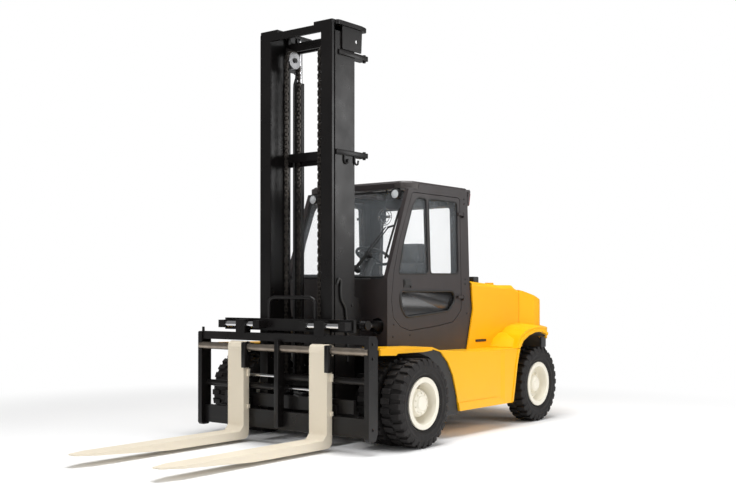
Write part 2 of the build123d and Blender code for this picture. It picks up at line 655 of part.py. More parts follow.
sheave_pin = cross_rod(sheave_x - 40, sheave_x + 50, sheave_y, sheave_z, sheave_pin_radius)
nodes["inner_mast"] = joined(inner_channel + crosshead + mast_roller) + inner_ties
nodes["inner_mast"] += joined(sheave_plate + sheave_pin)
sheave = cross_rod(sheave_x - 30, sheave_x + 30, sheave_y, sheave_z, sheave_radius)
sheave -= cross_rod(sheave_x - 40, sheave_x + 40, sheave_y, sheave_z, sheave_pin_radius + running_gap)
nodes["chain_sheaves"] = pair(sheave)
lift_rod = rod((cylinder_x, cylinder_y, 700), (cylinder_x, cylinder_y, inner_top - 2), lift_rod_radius)
nodes["lift_rods"] = pair(lift_rod)

# Lift chains: the front run to the carriage and the back run to the outer mast

chain_x0 = sheave_x - 20
chain_x1 = sheave_x + 20
chain_thick = 16
front_chain_y = sheave_y - sheave_radius - chain_thick
back_chain_y = sheave_y + sheave_radius
front_run = block(chain_x0, chain_x1, front_chain_y, front_chain_y + chain_thick, 600, sheave_z)
back_run = block(chain_x0, chain_x1, back_chain_y, back_chain_y + chain_thick, 330, sheave_z)
nodes["chain_front"] = pair(front_run)
nodes["chain_back"] = pair(back_run)

# Lift carriage: roller plates between the rails, two bars and the side-shift rods

bracket = block(258, 308, aft(-545), aft(-216), 250, 1010)
bracket -= block(250, 320, aft(-440), aft(-205), 480, 760)
carriage_roller_y = (mast_front_y + 28 + aft(-194)) / 2
carriage_roller_radius = (aft(-194) - mast_front_y - 28) / 2 - running_gap
rollers = Part()
for z in (370, 880):
    rollers += cross_rod(300, inner_web_in - 4, carriage_roller_y, z, carriage_roller_radius)
chain_bar = block(-262, 262, aft(-360), aft(-330), 520, 600) + joined(
    block(190, 262, aft(-450), aft(-330), 520, 560))
upper_bar = block(-790, 790, aft(-572), aft(-535), 1040, 1150)
lower_bar = block(-790, 790, aft(-572), aft(-535), 330, 450)
bracket_top = block(258, 308, aft(-545), aft(-470), 1000, 1150)
rod_y = aft(-640)
blocks = Part()
for x0, x1 in [(245, 325), (700, 776)]:
    blocks += block(x0, x1, rod_y - 36, aft(-565), shift_rod_z - 36, shift_rod_z + 36)
carriage_half = bracket + rollers + bracket_top + blocks
shift_rod = cross_rod(280, 740, rod_y, shift_rod_z, shift_rod_radius)
nodes["carriage"] = joined(carriage_half) + chain_bar + upper_bar + lower_bar - joined(shift_rod)
nodes["shift_rods"] = pair(shift_rod)

# Side-shift frame with its end plates, bars, rod sleeves and fork shaft

end_line = aft_outline([
    (-686, 140), (-686, 1017), (-585, 1017), (-560, 980), (-560, 180), (-590, 117), (-670, 117)])
end_plate = side_slab(end_line, frame_half - 50, frame_half, [20, 15, 20, 20, 20, 20, 20])
top_bar = block(-frame_half + 45, frame_half - 45, aft(-672), aft(-590), 945, 1017)
bottom_bar = block(-frame_half + 45, frame_half - 45, aft(-638), aft(-590), 140, 308)
mid_bar = block(-25, 25, aft(-690), aft(-630), 169, 960)
sleeve = block(425, 541, rod_y - 40, rod_y + 40, 1010, 1140)
sleeve_bore = cross_rod(400, 560, rod_y, shift_rod_z, shift_rod_radius + running_gap)
guide = block(420, 620, aft(-600), aft(-577), 250, 400)
eye_y = aft(-662)
fork_shaft = cross_rod(-frame_half + 10, frame_half - 10, eye_y, shaft_z, shaft_radius)
frame = joined(end_plate + sleeve + guide) + top_bar + bottom_bar + mid_bar

# Fork positioners: each cylinder reaches from the far end plate, and its rod pushes the fork sideways

positioner_y = aft(-596)
positioner_zs = [520, 620]
positioner_radius = 30
positioner_rod_radius = 15
barrel_mouth = 80
barrel_floor = -700
rod_tail = -340
shank_back = fork_face_y + fork_thickness
positioner_rods = []
frame += block(-25, 25, aft(-640), positioner_y, positioner_zs[0] - 40, positioner_zs[1] + 40)
for z in positioner_zs:
    barrel = cross_rod(-frame_half + 40, barrel_mouth, positioner_y, z, positioner_radius)
    bore = cross_rod(barrel_floor, barrel_mouth + 5, positioner_y, z, positioner_rod_radius + running_gap)
    push_rod = cross_rod(rod_tail, fork_x, positioner_y, z, positioner_rod_radius)
    push_rod += block(fork_x - 22, fork_x + 22, shank_back, positioner_y + 20, z - 30, z + 30)
    if z == positioner_zs[1]:
        barrel, bore, push_rod = mirrored(barrel), mirrored(bore), mirrored(push_rod)
    frame = frame + barrel - bore
    positioner_rods.append(push_rod)
nodes["shift_frame"] = frame - joined(sleeve_bore) - fork_shaft
nodes["fork_shaft"] = fork_shaft
nodes["positioner_rod_left"], nodes["positioner_rod_right"] = positioner_rods

# Forks: hook eye on the shaft, shank, heel and a blade that thins to its tip

fork_line = [
    (shank_back, 930), (fork_face_y + 6, 930), (fork_face_y, 800), (fork_face_y, 150),
    (fork_face_y - 46, fork_top_z), (fork_tip_y, fork_top_z), (fork_tip_y, fork_top_z - 10),
    (fork_face_y - 900, 34), (fork_face_y - 60, 30), (shank_back - 4, 30), (shank_back, 120),
]
fork_round = [20, 20, 30, 40, 40, 0, 0, 300, 0, 60, 30]
fork_x0 = fork_x - fork_width / 2
fork_x1 = fork_x + fork_width / 2
fork_body = side_slab(fork_line, fork_x0, fork_x1, fork_round)
tip_plan = [
    (fork_x - 45, fork_tip_y), (fork_x + 45, fork_tip_y), (fork_x1, fork_tip_y + 190), (fork_x1, 0),
    (fork_x0, 0), (fork_x0, fork_tip_y + 190),
]
fork = fork_body & plan_slab(tip_plan, 0, 1200, [20, 20, 150, 0, 0, 150])
eye = cross_rod(fork_x0, fork_x1, eye_y, shaft_z, 56)
eye_bore = cross_rod(fork_x - 200, fork_x + 200, eye_y, shaft_z, shaft_radius + running_gap)
fork = fork + eye - eye_bore
nodes["fork_left"] = fork
nodes["fork_right"] = mirrored(fork)

# Tilt cylinders between the cowl anchors and the mast lugs

eye_point = Vector(tilt_pin_x, tilt_eye_y, tilt_eye_z)
base_point = Vector(tilt_pin_x, tilt_base_y, tilt_base_z)
tilt_dir = (base_point - eye_point).normalized()
tilt_length = (base_point - eye_point).length
pin_gap = 3
tilt_rod_radius = 27
eye_x0 = tilt_pin_x - 32
eye_x1 = tilt_pin_x + 32


def along_tilt(distance):
    return tuple(eye_point + tilt_dir * distance)


def tilt_bore(y, z, gap):
    """The bore of a tilt cylinder's eye, wider than its pin by a gap all round."""
    return cross_rod(tilt_pin_x - 60, tilt_pin_x + 60, y, z, tilt_pin_radius + gap)


tilt_barrel = rod(along_tilt(130), along_tilt(tilt_length - 20), 55)
tilt_barrel -= rod(along_tilt(120), along_tilt(tilt_length - 70), tilt_rod_radius + running_gap)
tilt_barrel += cross_rod(eye_x0, eye_x1, tilt_base_y, tilt_base_z, 48)
tilt_barrel -= tilt_bore(tilt_base_y, tilt_base_z, running_gap)
tilt_rod = rod(along_tilt(20), along_tilt(420), tilt_rod_radius)
tilt_rod += cross_rod(eye_x0, eye_x1, tilt_eye_y, tilt_eye_z, 46)
tilt_rod -= tilt_bore(tilt_eye_y, tilt_eye_z, pin_gap)
nodes["tilt_barrel_left"] = tilt_barrel
nodes["tilt_barrel_right"] = mirrored(tilt_barrel)
nodes["tilt_rod_left"] = tilt_rod
nodes["tilt_rod_right"] = mirrored(tilt_rod)

for name, shape in nodes.items():
    export_step(shape, f"parts/{name}.step")
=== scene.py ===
# %% [markdown]
# # A counterbalance forklift truck
# The frame brings every solid of the truck at its true size. This lesson gives each one its finish and adds
# what a solid model leaves plain: tread blocks, chains, bolts, seals, hoses, lamps, seat and controls.

# %% Load the frame
import math

import bmesh
import bpy
from mathutils import Matrix, Vector


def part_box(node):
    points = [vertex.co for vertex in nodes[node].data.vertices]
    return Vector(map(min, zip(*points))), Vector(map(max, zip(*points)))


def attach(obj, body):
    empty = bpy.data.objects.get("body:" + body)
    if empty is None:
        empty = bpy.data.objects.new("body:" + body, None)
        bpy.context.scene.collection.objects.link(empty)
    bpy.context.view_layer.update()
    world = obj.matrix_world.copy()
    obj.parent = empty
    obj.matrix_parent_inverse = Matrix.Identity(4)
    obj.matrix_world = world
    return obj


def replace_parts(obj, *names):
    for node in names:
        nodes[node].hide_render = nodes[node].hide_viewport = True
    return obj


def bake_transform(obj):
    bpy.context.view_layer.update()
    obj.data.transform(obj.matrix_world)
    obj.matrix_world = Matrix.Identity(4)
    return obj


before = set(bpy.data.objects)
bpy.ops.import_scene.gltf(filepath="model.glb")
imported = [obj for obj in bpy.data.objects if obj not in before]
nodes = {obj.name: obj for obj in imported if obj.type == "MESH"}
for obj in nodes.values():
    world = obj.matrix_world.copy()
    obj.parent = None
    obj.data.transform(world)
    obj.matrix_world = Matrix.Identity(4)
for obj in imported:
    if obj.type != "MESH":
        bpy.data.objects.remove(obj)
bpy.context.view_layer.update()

# %% [markdown]
# ## The photograph's camera
# The picture was taken from the truck's front left at eye height, with a fairly long lens. The horizon lies a
# little below the middle of the picture, so the lens is shifted up a touch instead of tilting the camera.

# %% Camera
camera_spot = Vector((6.419, -7.895, 1.404))
camera_azimuth = math.radians(37.68)
camera_pitch = math.radians(0.47)
look = Vector((
    -math.sin(camera_azimuth) * math.cos(camera_pitch),
    math.cos(camera_azimuth) * math.cos(camera_pitch),
    math.sin(camera_pitch)))
camera = bpy.data.objects.new("camera", bpy.data.cameras.new("camera"))
camera.location = camera_spot
camera.rotation_euler = look.to_track_quat("-Z", "Y").to_euler()
camera.data.lens = 50.83
camera.data.sensor_width = 36
camera.data.shift_y = 0.051
camera.data.clip_end = 200
bpy.context.scene.collection.objects.link(camera)
bpy.context.scene.camera = camera
print("camera", tuple(round(v, 3) for v in camera.location))

# %% [markdown]
# ## Studio floor and light
# A white sweep and four broad soft lamps copy a product studio: one large lamp over the truck, one on the
# side that the camera sees, a weak one that opens up the dark mast, and one behind the tail that glances off
# the mast's side. The world adds an even white glow.

# %% Studio
scene = bpy.context.scene
scene.view_settings.view_transform = "Standard"
scene.view_settings.look = "None"


def link(tree, source, socket, target, slot):
    tree.links.new(source.outputs[socket], target.inputs[slot])


def add_node(tree, kind, values=None, **settings):
    """A shader node with its settings and the values of its inputs."""
    node = tree.nodes.new("ShaderNode" + kind)
    for name, setting in settings.items():
        setattr(node, name, setting)
    for socket, value in (values or {}).items():
        node.inputs[socket].default_value = value
    return node


def plain_surface(name, colour, roughness):
    """A matt studio surface."""
    material = bpy.data.materials.new(name)
    material.use_nodes = True
    shader = material.node_tree.nodes["Principled BSDF"]
    shader.inputs["Base Color"].default_value = (*colour, 1)
    shader.inputs["Roughness"].default_value = roughness
    return material


floor_reach = 60
floor_level = -0.002
floor_corners = [(-1, -1), (1, -1), (1, 1), (-1, 1)]
floor_mesh = bpy.data.meshes.new("studio_floor")
floor_mesh.from_pydata(
    [(x * floor_reach, y * floor_reach, floor_level) for x, y in floor_corners], [], [(0, 1, 2, 3)])
floor = bpy.data.objects.new("studio_floor", floor_mesh)
floor_paint = plain_surface("studio_white", (0.9, 0.9, 0.9), 0.9)
floor_mesh.materials.append(floor_paint)
scene.collection.objects.link(floor)


def fade_floor(tree, near, far):
    """Lets the floor run into plain white away from the truck, for the camera alone."""
    coords = add_node(tree, "TexCoord")
    reach = add_node(tree, "VectorMath", operation="LENGTH")
    fade = add_node(tree, "MapRange", {"From Min": near, "From Max": far}, interpolation_type="SMOOTHSTEP")
    seen = add_node(tree, "LightPath")
    both = add_node(tree, "Math", operation="MULTIPLY")
    white = add_node(tree, "Emission")
    mixed = add_node(tree, "MixShader")
    link(tree, coords, "Object", reach, 0)
    link(tree, reach, "Value", fade, "Value")
    link(tree, fade, "Result", both, 0)
    link(tree, seen, "Is Camera Ray", both, 1)
    link(tree, both, "Value", mixed, "Fac")
    link(tree, tree.nodes["Principled BSDF"], "BSDF", mixed, 1)
    link(tree, white, "Emission", mixed, 2)
    link(tree, mixed, "Shader", tree.nodes["Material Output"], "Surface")


fade_floor(floor_paint.node_tree, near=3.2, far=6.5)

world_glow = 0.22
world = bpy.data.worlds.new("studio")
scene.world = world
world.use_nodes = True
sky = world.node_tree.nodes["Background"]
sky.inputs["Color"].default_value = (1, 1, 1, 1)
sight = add_node(world.node_tree, "LightPath")
glow = add_node(world.node_tree, "MapRange", {"To Min": world_glow, "To Max": 1.0})
link(world.node_tree, sight, "Is Camera Ray", glow, "Value")
link(world.node_tree, glow, "Result", sky, "Strength")


def soft_lamp(name, spot, aim, size, power):
    """A square softbox that faces a point."""
    lamp = bpy.data.objects.new(name, bpy.data.lights.new(name, "AREA"))
    lamp.data.shape = "SQUARE"
    lamp.data.size = size
    lamp.data.energy = power
    lamp.location = spot
    lamp.rotation_euler = (Vector(aim) - Vector(spot)).to_track_quat("-Z", "Y").to_euler()
    scene.collection.objects.link(lamp)


soft_lamp("top_box", (1.0, -0.5, 9.0), (0, 0, 1), size=6, power=960)
soft_lamp("side_box", (9.0, 1.0, 5.0), (0, 0.5, 1.2), size=6, power=300)
soft_lamp("front_box", (1.0, -11.0, 4.0), (0, -1, 1.5), size=6, power=250)
soft_lamp("tail_box", (8.0, 8.5, 4.2), (0.4, -0.4, 2.4), size=3.5, power=170)

# %% [markdown]
# ## Finishes
# Paint on a work machine is never one flat colour: it has a faint mottle, a gloss that changes from patch to
# patch and the fine ripple of sprayed enamel. One helper builds that from noise in the object's own
# coordinates, and each finish gives it its colours, gloss and grain.

# %% The helper behind every finish
finishes = {}
noise_low = 0.3
noise_high = 0.7
gloss_scale = 3.1
grain_depth = 0.002


def noise(tree, coords, scale, detail=4.0):
    """A noise texture on the object's coordinates."""
    node = add_node(tree, "TexNoise", {"Scale": scale, "Detail": detail})
    link(tree, coords, "Object", node, "Vector")
    return node


def remapped(tree, source, low, high):
    """A noise value spread between two numbers."""
    values = {"From Min": noise_low, "From Max": noise_high, "To Min": low, "To Max": high}
    node = add_node(tree, "MapRange", values)
    link(tree, source, "Fac", node, "Value")
    return node


def make_finish(name, base, second, gloss, grain, bump, patch=1.6, **sockets):
    """A finish whose colour and roughness wander between two values, with a fine raised grain."""
    material = bpy.data.materials.new(name)
    material.use_nodes = True
    tree = material.node_tree
    shader = tree.nodes["Principled BSDF"]
    for socket, value in sockets.items():
        shader.inputs[socket.replace("_", " ")].default_value = value
    coords = add_node(tree, "TexCoord")
    blend = add_node(tree, "Mix", {"A": (*base, 1), "B": (*second, 1)}, data_type="RGBA")
    spread = remapped(tree, noise(tree, coords, patch), 0.0, 1.0)
    link(tree, spread, "Result", blend, "Factor")
    link(tree, blend, "Result", shader, "Base Color")
    shine = remapped(tree, noise(tree, coords, patch * gloss_scale), *gloss)
    link(tree, shine, "Result", shader, "Roughness")
    ripple = add_node(tree, "Bump", {"Strength": bump, "Distance": grain_depth})
    link(tree, noise(tree, coords, grain, 6.0), "Fac", ripple, "Height")
    link(tree, ripple, "Normal", shader, "Normal")
    finishes[name] = material


# %% Paints, metals, rubber and plastics
yellow = [(0.960, 0.480, 0.002), (0.925, 0.455, 0.002)]
black = [(0.0050, 0.0043, 0.0043), (0.0085, 0.0074, 0.0072)]
make_finish("yellow_paint", *yellow, (0.34, 0.42), grain=140.0, bump=0.03, Coat_Weight=0.12,
            Coat_Roughness=0.15, Specular_IOR_Level=0.3)
make_finish("cab_paint", (0.029, 0.0225, 0.0225), (0.024, 0.019, 0.019), (0.40, 0.50), grain=420.0,
            bump=0.10)
make_finish("cab_trim", (0.085, 0.074, 0.070), (0.070, 0.061, 0.058), (0.40, 0.50), grain=420.0,
            bump=0.10)
make_finish("mast_paint", *black, (0.26, 0.36), grain=220.0, bump=0.05, Specular_IOR_Level=0.32)
make_finish("fork_paint", (0.815, 0.735, 0.595), (0.780, 0.695, 0.550), (0.42, 0.55), grain=160.0,
            bump=0.05)
make_finish("wheel_paint", (0.880, 0.840, 0.730), (0.840, 0.795, 0.675), (0.28, 0.36), grain=180.0,
            bump=0.03, Coat_Weight=0.25, Coat_Roughness=0.15)
make_finish("tyre_rubber", (0.0105, 0.0090, 0.0088), (0.0165, 0.0145, 0.0140), (0.58, 0.74), patch=5.0,
            grain=300.0, bump=0.20, Specular_IOR_Level=0.3)
make_finish("seat_cloth", (0.020, 0.020, 0.021), (0.030, 0.030, 0.031), (0.75, 0.88), patch=14.0,
            grain=1100.0, bump=0.35)
make_finish("chrome", (0.78, 0.78, 0.79), (0.70, 0.70, 0.72), (0.08, 0.15), grain=500.0, bump=0.01,
            Metallic=1.0)
make_finish("bare_steel", (0.36, 0.31, 0.26), (0.27, 0.23, 0.19), (0.32, 0.48), patch=9.0, grain=400.0,
            bump=0.08, Metallic=1.0)
make_finish("worn_steel", (0.42, 0.42, 0.43), (0.33, 0.33, 0.34), (0.30, 0.42), patch=9.0, grain=400.0,
            bump=0.06, Metallic=1.0)
make_finish("chain_steel", (0.085, 0.075, 0.066), (0.045, 0.040, 0.036), (0.30, 0.46), patch=18.0,
            grain=500.0, bump=0.06, Metallic=0.8)
make_finish("black_plastic", (0.013, 0.013, 0.013), (0.020, 0.020, 0.020), (0.48, 0.60), grain=900.0,
            bump=0.14)
make_finish("black_rubber", (0.010, 0.010, 0.010), (0.016, 0.016, 0.016), (0.55, 0.70), grain=500.0,
            bump=0.10)
make_finish("hose_rubber", (0.016, 0.016, 0.016), (0.024, 0.024, 0.024), (0.45, 0.60), grain=700.0,
            bump=0.10)
make_finish("engine_iron", (0.055, 0.056, 0.060), (0.085, 0.084, 0.082), (0.50, 0.68), patch=6.0,
            grain=180.0, bump=0.20)
make_finish("lamp_shell", (0.010, 0.010, 0.010), (0.016, 0.016, 0.016), (0.30, 0.40), grain=600.0,
            bump=0.08)
make_finish("lamp_glass", (0.80, 0.82, 0.83), (0.70, 0.72, 0.74), (0.06, 0.10), patch=30.0, grain=160.0,
            bump=0.25, Coat_Weight=0.6)
make_finish("tail_red", (0.42, 0.012, 0.010), (0.34, 0.010, 0.008), (0.10, 0.16), patch=20.0,
            grain=260.0, bump=0.12, Coat_Weight=0.5)
make_finish("tail_amber", (0.72, 0.22, 0.010), (0.62, 0.18, 0.008), (0.10, 0.16), patch=20.0,
            grain=260.0, bump=0.12, Coat_Weight=0.5)
make_finish("cab_glass", (0.74, 0.82, 0.87), (0.70, 0.78, 0.84), (0.02, 0.05), patch=0.7, grain=4.0,
            bump=0.004, Alpha=0.055, Specular_IOR_Level=0.5)
make_finish("lower_glass", (0.026, 0.026, 0.027), (0.018, 0.018, 0.019), (0.20, 0.28), patch=0.7,
            grain=4.0, bump=0.004, Alpha=0.94)


def paint_shade_inside(name, base, low, high):
    """A copy of a finish with painted shade, plain black inside a box of the truck's own coordinates."""
    material = finishes[base].copy()
    material.name = name
    tree = material.node_tree
    shader = tree.nodes["Principled BSDF"]
    paint = shader.inputs["Base Color"].links[0].from_socket
    coords = add_node(tree, "TexCoord")
    parts = add_node(tree, "SeparateXYZ")
    width = add_node(tree, "Math", operation="ABSOLUTE")
    link(tree, coords, "Object", parts, "Vector")
    link(tree, parts, "X", width, 0)
    inside = None
    for (source, socket), limits in zip([(width, 0), (parts, "Y"), (parts, "Z")], zip(low, high)):
        for edge, operation in zip(limits, ("GREATER_THAN", "LESS_THAN")):
            test = add_node(tree, "Math", {1: edge}, operation=operation)
            link(tree, source, socket, test, 0)
            if inside:
                both = add_node(tree, "Math", operation="MULTIPLY")
                link(tree, inside, 0, both, 0)
                link(tree, test, 0, both, 1)
                test = both
            inside = test
    mix = add_node(tree, "Mix", {"B": (*black[1], 1)}, data_type="RGBA")
    link(tree, inside, 0, mix, "Factor")
    tree.links.new(paint, mix.inputs["A"])
    link(tree, mix, "Result", shader, "Base Color")
    finishes[name] = material


# Painted shade: these parts turn plain black where they lie in shadow. That is the frame below the hood
# sides, the inner front of the front fenders, and the counterweight's core in the rear wheel wells.
paint_shade_inside("frame_paint", "yellow_paint", (-1, -1, 0), (0.630, 3, 0.795))
paint_shade_inside("fender_paint", "yellow_paint", (-1, -1, 0), (0.930, -0.540, 1))
paint_shade_inside("mass_paint", "yellow_paint", (-1, 1, 0), (0.640, 2.560, 0.960))
print("finishes", len(finishes))

# %% [markdown]
# ## Paint the frame's own pieces
# Most solids already have the right shape, so they only need their finish.

# %% Dress the solids
dressing = {
    "yellow_paint": ["hood_sides", "hood_lid"],
    "frame_paint": ["main_frame"],
    "fender_paint": ["front_fenders"],
    "mass_paint": ["counterweight"],
    "cab_paint": [
        "cab_floor", "cab_cowl", "cab_side_left", "cab_side_right", "cab_rear_wall", "cab_roof", "door_left",
        "door_right"],
    "mast_paint": [
        "outer_mast", "inner_mast", "carriage", "shift_frame", "lift_cylinders", "tilt_anchors", "drive_axle",
        "steer_axle", "knuckle_left", "knuckle_right", "tilt_barrel_left", "tilt_barrel_right"],
    "fork_paint": ["fork_left", "fork_right"],
    "wheel_paint": ["drive_rims_left", "drive_rims_right", "steer_rim_left", "steer_rim_right"],
    "tyre_rubber": ["drive_tyres_left", "drive_tyres_right", "steer_tyre_left", "steer_tyre_right"],
    "chrome": [
        "lift_rods", "shift_rods", "tilt_rod_left", "tilt_rod_right", "positioner_rod_left",
        "positioner_rod_right"],
    "bare_steel": ["fork_shaft"],
    "worn_steel": ["chain_sheaves"],
    "chain_steel": ["chain_front", "chain_back"],
    "cab_glass": ["cab_glass", "door_glass_left", "door_glass_right"],
    "black_plastic": ["fender_liners", "steering_column", "steering_wheel"],
    "lamp_shell": ["work_lamps"],
    "tail_red": ["tail_lamps"],
    "engine_iron": ["engine_block"],
    "black_rubber": ["seat"],
}


def dress(node, finish_name):
    slots = nodes[node].data.materials
    slots.clear()
    slots.append(finishes[finish_name])


for finish_name, names in dressing.items():
    for node in names:
        dress(node, finish_name)
print("dressed", sum(len(names) for names in dressing.values()), "of", len(nodes))

# %% [markdown]
# ## Tools for the added pieces
# Every added piece is a plain mesh whose object stays at the origin. Small helpers make boxed, turned and
# swept shapes, so that each later cell only says where things sit and how big they are.

# %% Shape helpers
def rounded(outline, radius):
    """A closed outline whose corners are cut to short curves."""
    result = []
    count = len(outline)
    for i in range(count):
        corner = Vector(outline[i])
        before = Vector(outline[i - 1]) - corner
        after = Vector(outline[(i + 1) % count]) - corner
        reach = min(radius, 0.45 * before.length, 0.45 * after.length)
        start = corner + before.normalized() * reach
        end = corner + after.normalized() * reach
        for share in (0.0, 0.33, 0.67, 1.0):
            middle = start.lerp(corner, share)
            result.append(tuple(middle.lerp(corner.lerp(end, share), share)))
    return result


def add_box(shape, low, high, bevel=0.0):
    """A box between two corners, with its edges broken when a bevel is given."""
    verts = bmesh.ops.create_cube(shape, size=1.0)["verts"]
    low, high = Vector(low), Vector(high)
    for vert in verts:
        share = vert.co + Vector((0.5, 0.5, 0.5))
        vert.co = Vector([low[i] + (high[i] - low[i]) * share[i] for i in range(3)])
    if bevel:
        edges = list({edge for vert in verts for edge in vert.link_edges})
        bmesh.ops.bevel(shape, geom=edges, offset=bevel, segments=2, profile=0.5, affect="EDGES")


def add_box_pair(shape, low, high, bevel=0.0):
    """A box on the truck's left and its twin on the right."""
    add_box(shape, low, high, bevel)
    add_box(shape, (-high[0], low[1], low[2]), (-low[0], high[1], high[2]), bevel)


def add_rings(shape, rings, closed):
    """Skins a list of rings of points; the skin closes on itself or gets flat ends."""
    count = len(rings[0])
    levels = [[shape.verts.new(point) for point in ring] for ring in rings]
    pairs = list(zip(levels, levels[1:]))
    if closed:
        pairs.append((levels[-1], levels[0]))
    for near, far in pairs:
        for i in range(count):
            j = (i + 1) % count
            shape.faces.new((near[i], near[j], far[j], far[i]))
    if not closed:
        shape.faces.new(levels[0])
        shape.faces.new(levels[-1])


def axis_frame(axis):
    """Two directions square to an axis."""
    axis = Vector(axis).normalized()
    side = axis.cross(Vector((0, 0, 1)))
    if side.length < 0.1:
        side = axis.cross(Vector((0, 1, 0)))
    side.normalize()
    return side, axis.cross(side)


def add_turned(shape, profile, centre, axis=(1, 0, 0), sides=48, closed=False):
    """A list of (distance along the axis, radius) turned about an axis through a point."""
    side, other = axis_frame(axis)
    axis = Vector(axis).normalized()
    rings = []
    for along, radius in profile:
        ring = []
        for i in range(sides):
            angle = 2 * math.pi * i / sides
            spoke = side * math.cos(angle) + other * math.sin(angle)
            ring.append(Vector(centre) + axis * along + spoke * max(radius, 1e-5))
        rings.append(ring)
    add_rings(shape, rings, closed)


def add_tube(shape, points, radius, sides=10, closed=False):
    """A round bar along a path."""
    path = [Vector(point) for point in points]
    count = len(path)
    side = None
    rings = []
    for i in range(count):
        before = path[i - 1] if i or closed else path[0]
        after = path[(i + 1) % count] if i < count - 1 or closed else path[-1]
        heading = (after - before).normalized()
        side = axis_frame(heading)[0] if side is None else (side - heading * side.dot(heading)).normalized()
        other = heading.cross(side)
        ring = []
        for k in range(sides):
            angle = 2 * math.pi * k / sides
            ring.append(path[i] + (side * math.cos(angle) + other * math.sin(angle)) * radius)
        rings.append(ring)
    add_rings(shape, rings, closed)


def eased(points, steps=8):
    """A smooth curve through a few chosen points."""
    spots = [Vector(point) for point in points]
    spots = [2 * spots[0] - spots[1]] + spots + [2 * spots[-1] - spots[-2]]
    curve = []
    for a, b, c, d in zip(spots, spots[1:], spots[2:], spots[3:]):
        for step in range(steps):
            t = step / steps
            curve.append(0.5 * (2 * b + (c - a) * t + (2 * a - 5 * b + 4 * c - d) * t * t
                                + (3 * b - a - 3 * c + d) * t ** 3))
    return curve + [spots[-2]]


def add_plate(shape, outline, low, high, axis=0):
    """A flat outline, in the other two coordinates, carried between two places along an axis."""
    rings = []
    for level in (low, high):
        ring = []
        for point in outline:
            spot = list(point)
            spot.insert(axis, level)
            ring.append(Vector(spot))
        rings.append(ring)
    add_rings(shape, rings, False)


# %% Object helpers
def adopt(name, mesh, finish_name, body, smooth_deg=35.0):
    """Makes a mesh into an object with a finish that rides on a body."""
    mesh.materials.clear()
    mesh.materials.append(finishes[finish_name])
    mesh.shade_smooth()
    mesh.set_sharp_from_angle(angle=math.radians(smooth_deg))
    piece = bpy.data.objects.new(name, mesh)
    scene.collection.objects.link(piece)
    if body:
        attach(piece, body)
    return piece


def mesh_of(name, shape):
    """Closes a working shape into a mesh."""
    mesh = bpy.data.meshes.new(name)
    bmesh.ops.recalc_face_normals(shape, faces=shape.faces)
    shape.to_mesh(mesh)
    shape.free()
    return mesh


def piece_of(name, shape, finish_name, body, smooth_deg=35.0):
    return adopt(name, mesh_of(name, shape), finish_name, body, smooth_deg)


def gathered(name, meshes, places):
    """One mesh from several, each copied to every one of its places."""
    shape = bmesh.new()
    for mesh in meshes:
        for place in places:
            first = len(shape.verts)
            shape.from_mesh(mesh)
            shape.verts.ensure_lookup_table()
            copy = shape.verts[first:]
            bmesh.ops.transform(shape, matrix=place, verts=copy)
    return mesh_of(name, shape)


def twin(mesh):
    """The mirror image of a mesh on the truck's other side."""
    shape = bmesh.new()
    shape.from_mesh(mesh)
    bmesh.ops.scale(shape, vec=(-1, 1, 1), verts=shape.verts)
    return mesh_of(mesh.name + "_twin", shape)


print("helpers ready")

# %% [markdown]
# ## One tree for all that repeats
# Tread lugs, wheel nuts and chain links are the same small model again and again. The tree places a model
# on the points of a line, turns each copy a little further, makes the copies real and gives them their
# material.

# %% The repeating tree
def build_repeat_tree():
    tree = bpy.data.node_groups.new("repeat", "GeometryNodeTree")
    tree.interface.new_socket("Geometry", in_out="OUTPUT", socket_type="NodeSocketGeometry")
    tree.interface.new_socket("Geometry", in_out="INPUT", socket_type="NodeSocketGeometry")
    kinds = {
        "Piece": "NodeSocketObject", "Count": "NodeSocketInt", "Start": "NodeSocketVector",
        "Step": "NodeSocketVector", "First turn": "NodeSocketVector", "Turn": "NodeSocketVector",
        "Material": "NodeSocketMaterial"}
    sockets = {}
    for label, kind in kinds.items():
        sockets[label] = tree.interface.new_socket(label, in_out="INPUT", socket_type=kind).identifier
    make = tree.nodes.new
    given = make("NodeGroupInput")
    row = make("GeometryNodeMeshLine")
    index = make("GeometryNodeInputIndex")
    further = make("ShaderNodeVectorMath")
    further.operation = "SCALE"
    total = make("ShaderNodeVectorMath")
    total.operation = "ADD"
    rotation = make("FunctionNodeEulerToRotation")
    model = make("GeometryNodeObjectInfo")
    copies = make("GeometryNodeInstanceOnPoints")
    real = make("GeometryNodeRealizeInstances")
    painted = make("GeometryNodeSetMaterial")
    result = make("NodeGroupOutput")
    link(tree, given, "Count", row, "Count")
    link(tree, given, "Start", row, "Start Location")
    link(tree, given, "Step", row, "Offset")
    link(tree, given, "Turn", further, 0)
    link(tree, index, "Index", further, "Scale")
    link(tree, given, "First turn", total, 0)
    link(tree, further, "Vector", total, 1)
    link(tree, total, "Vector", rotation, "Euler")
    link(tree, given, "Piece", model, "Object")
    link(tree, row, "Mesh", copies, "Points")
    link(tree, model, "Geometry", copies, "Instance")
    link(tree, rotation, "Rotation", copies, "Rotation")
    link(tree, copies, "Instances", real, "Geometry")
    link(tree, real, "Geometry", painted, "Geometry")
    link(tree, given, "Material", painted, "Material")
    link(tree, painted, "Geometry", result, "Geometry")
    return tree, sockets


repeat_tree, repeat_sockets = build_repeat_tree()


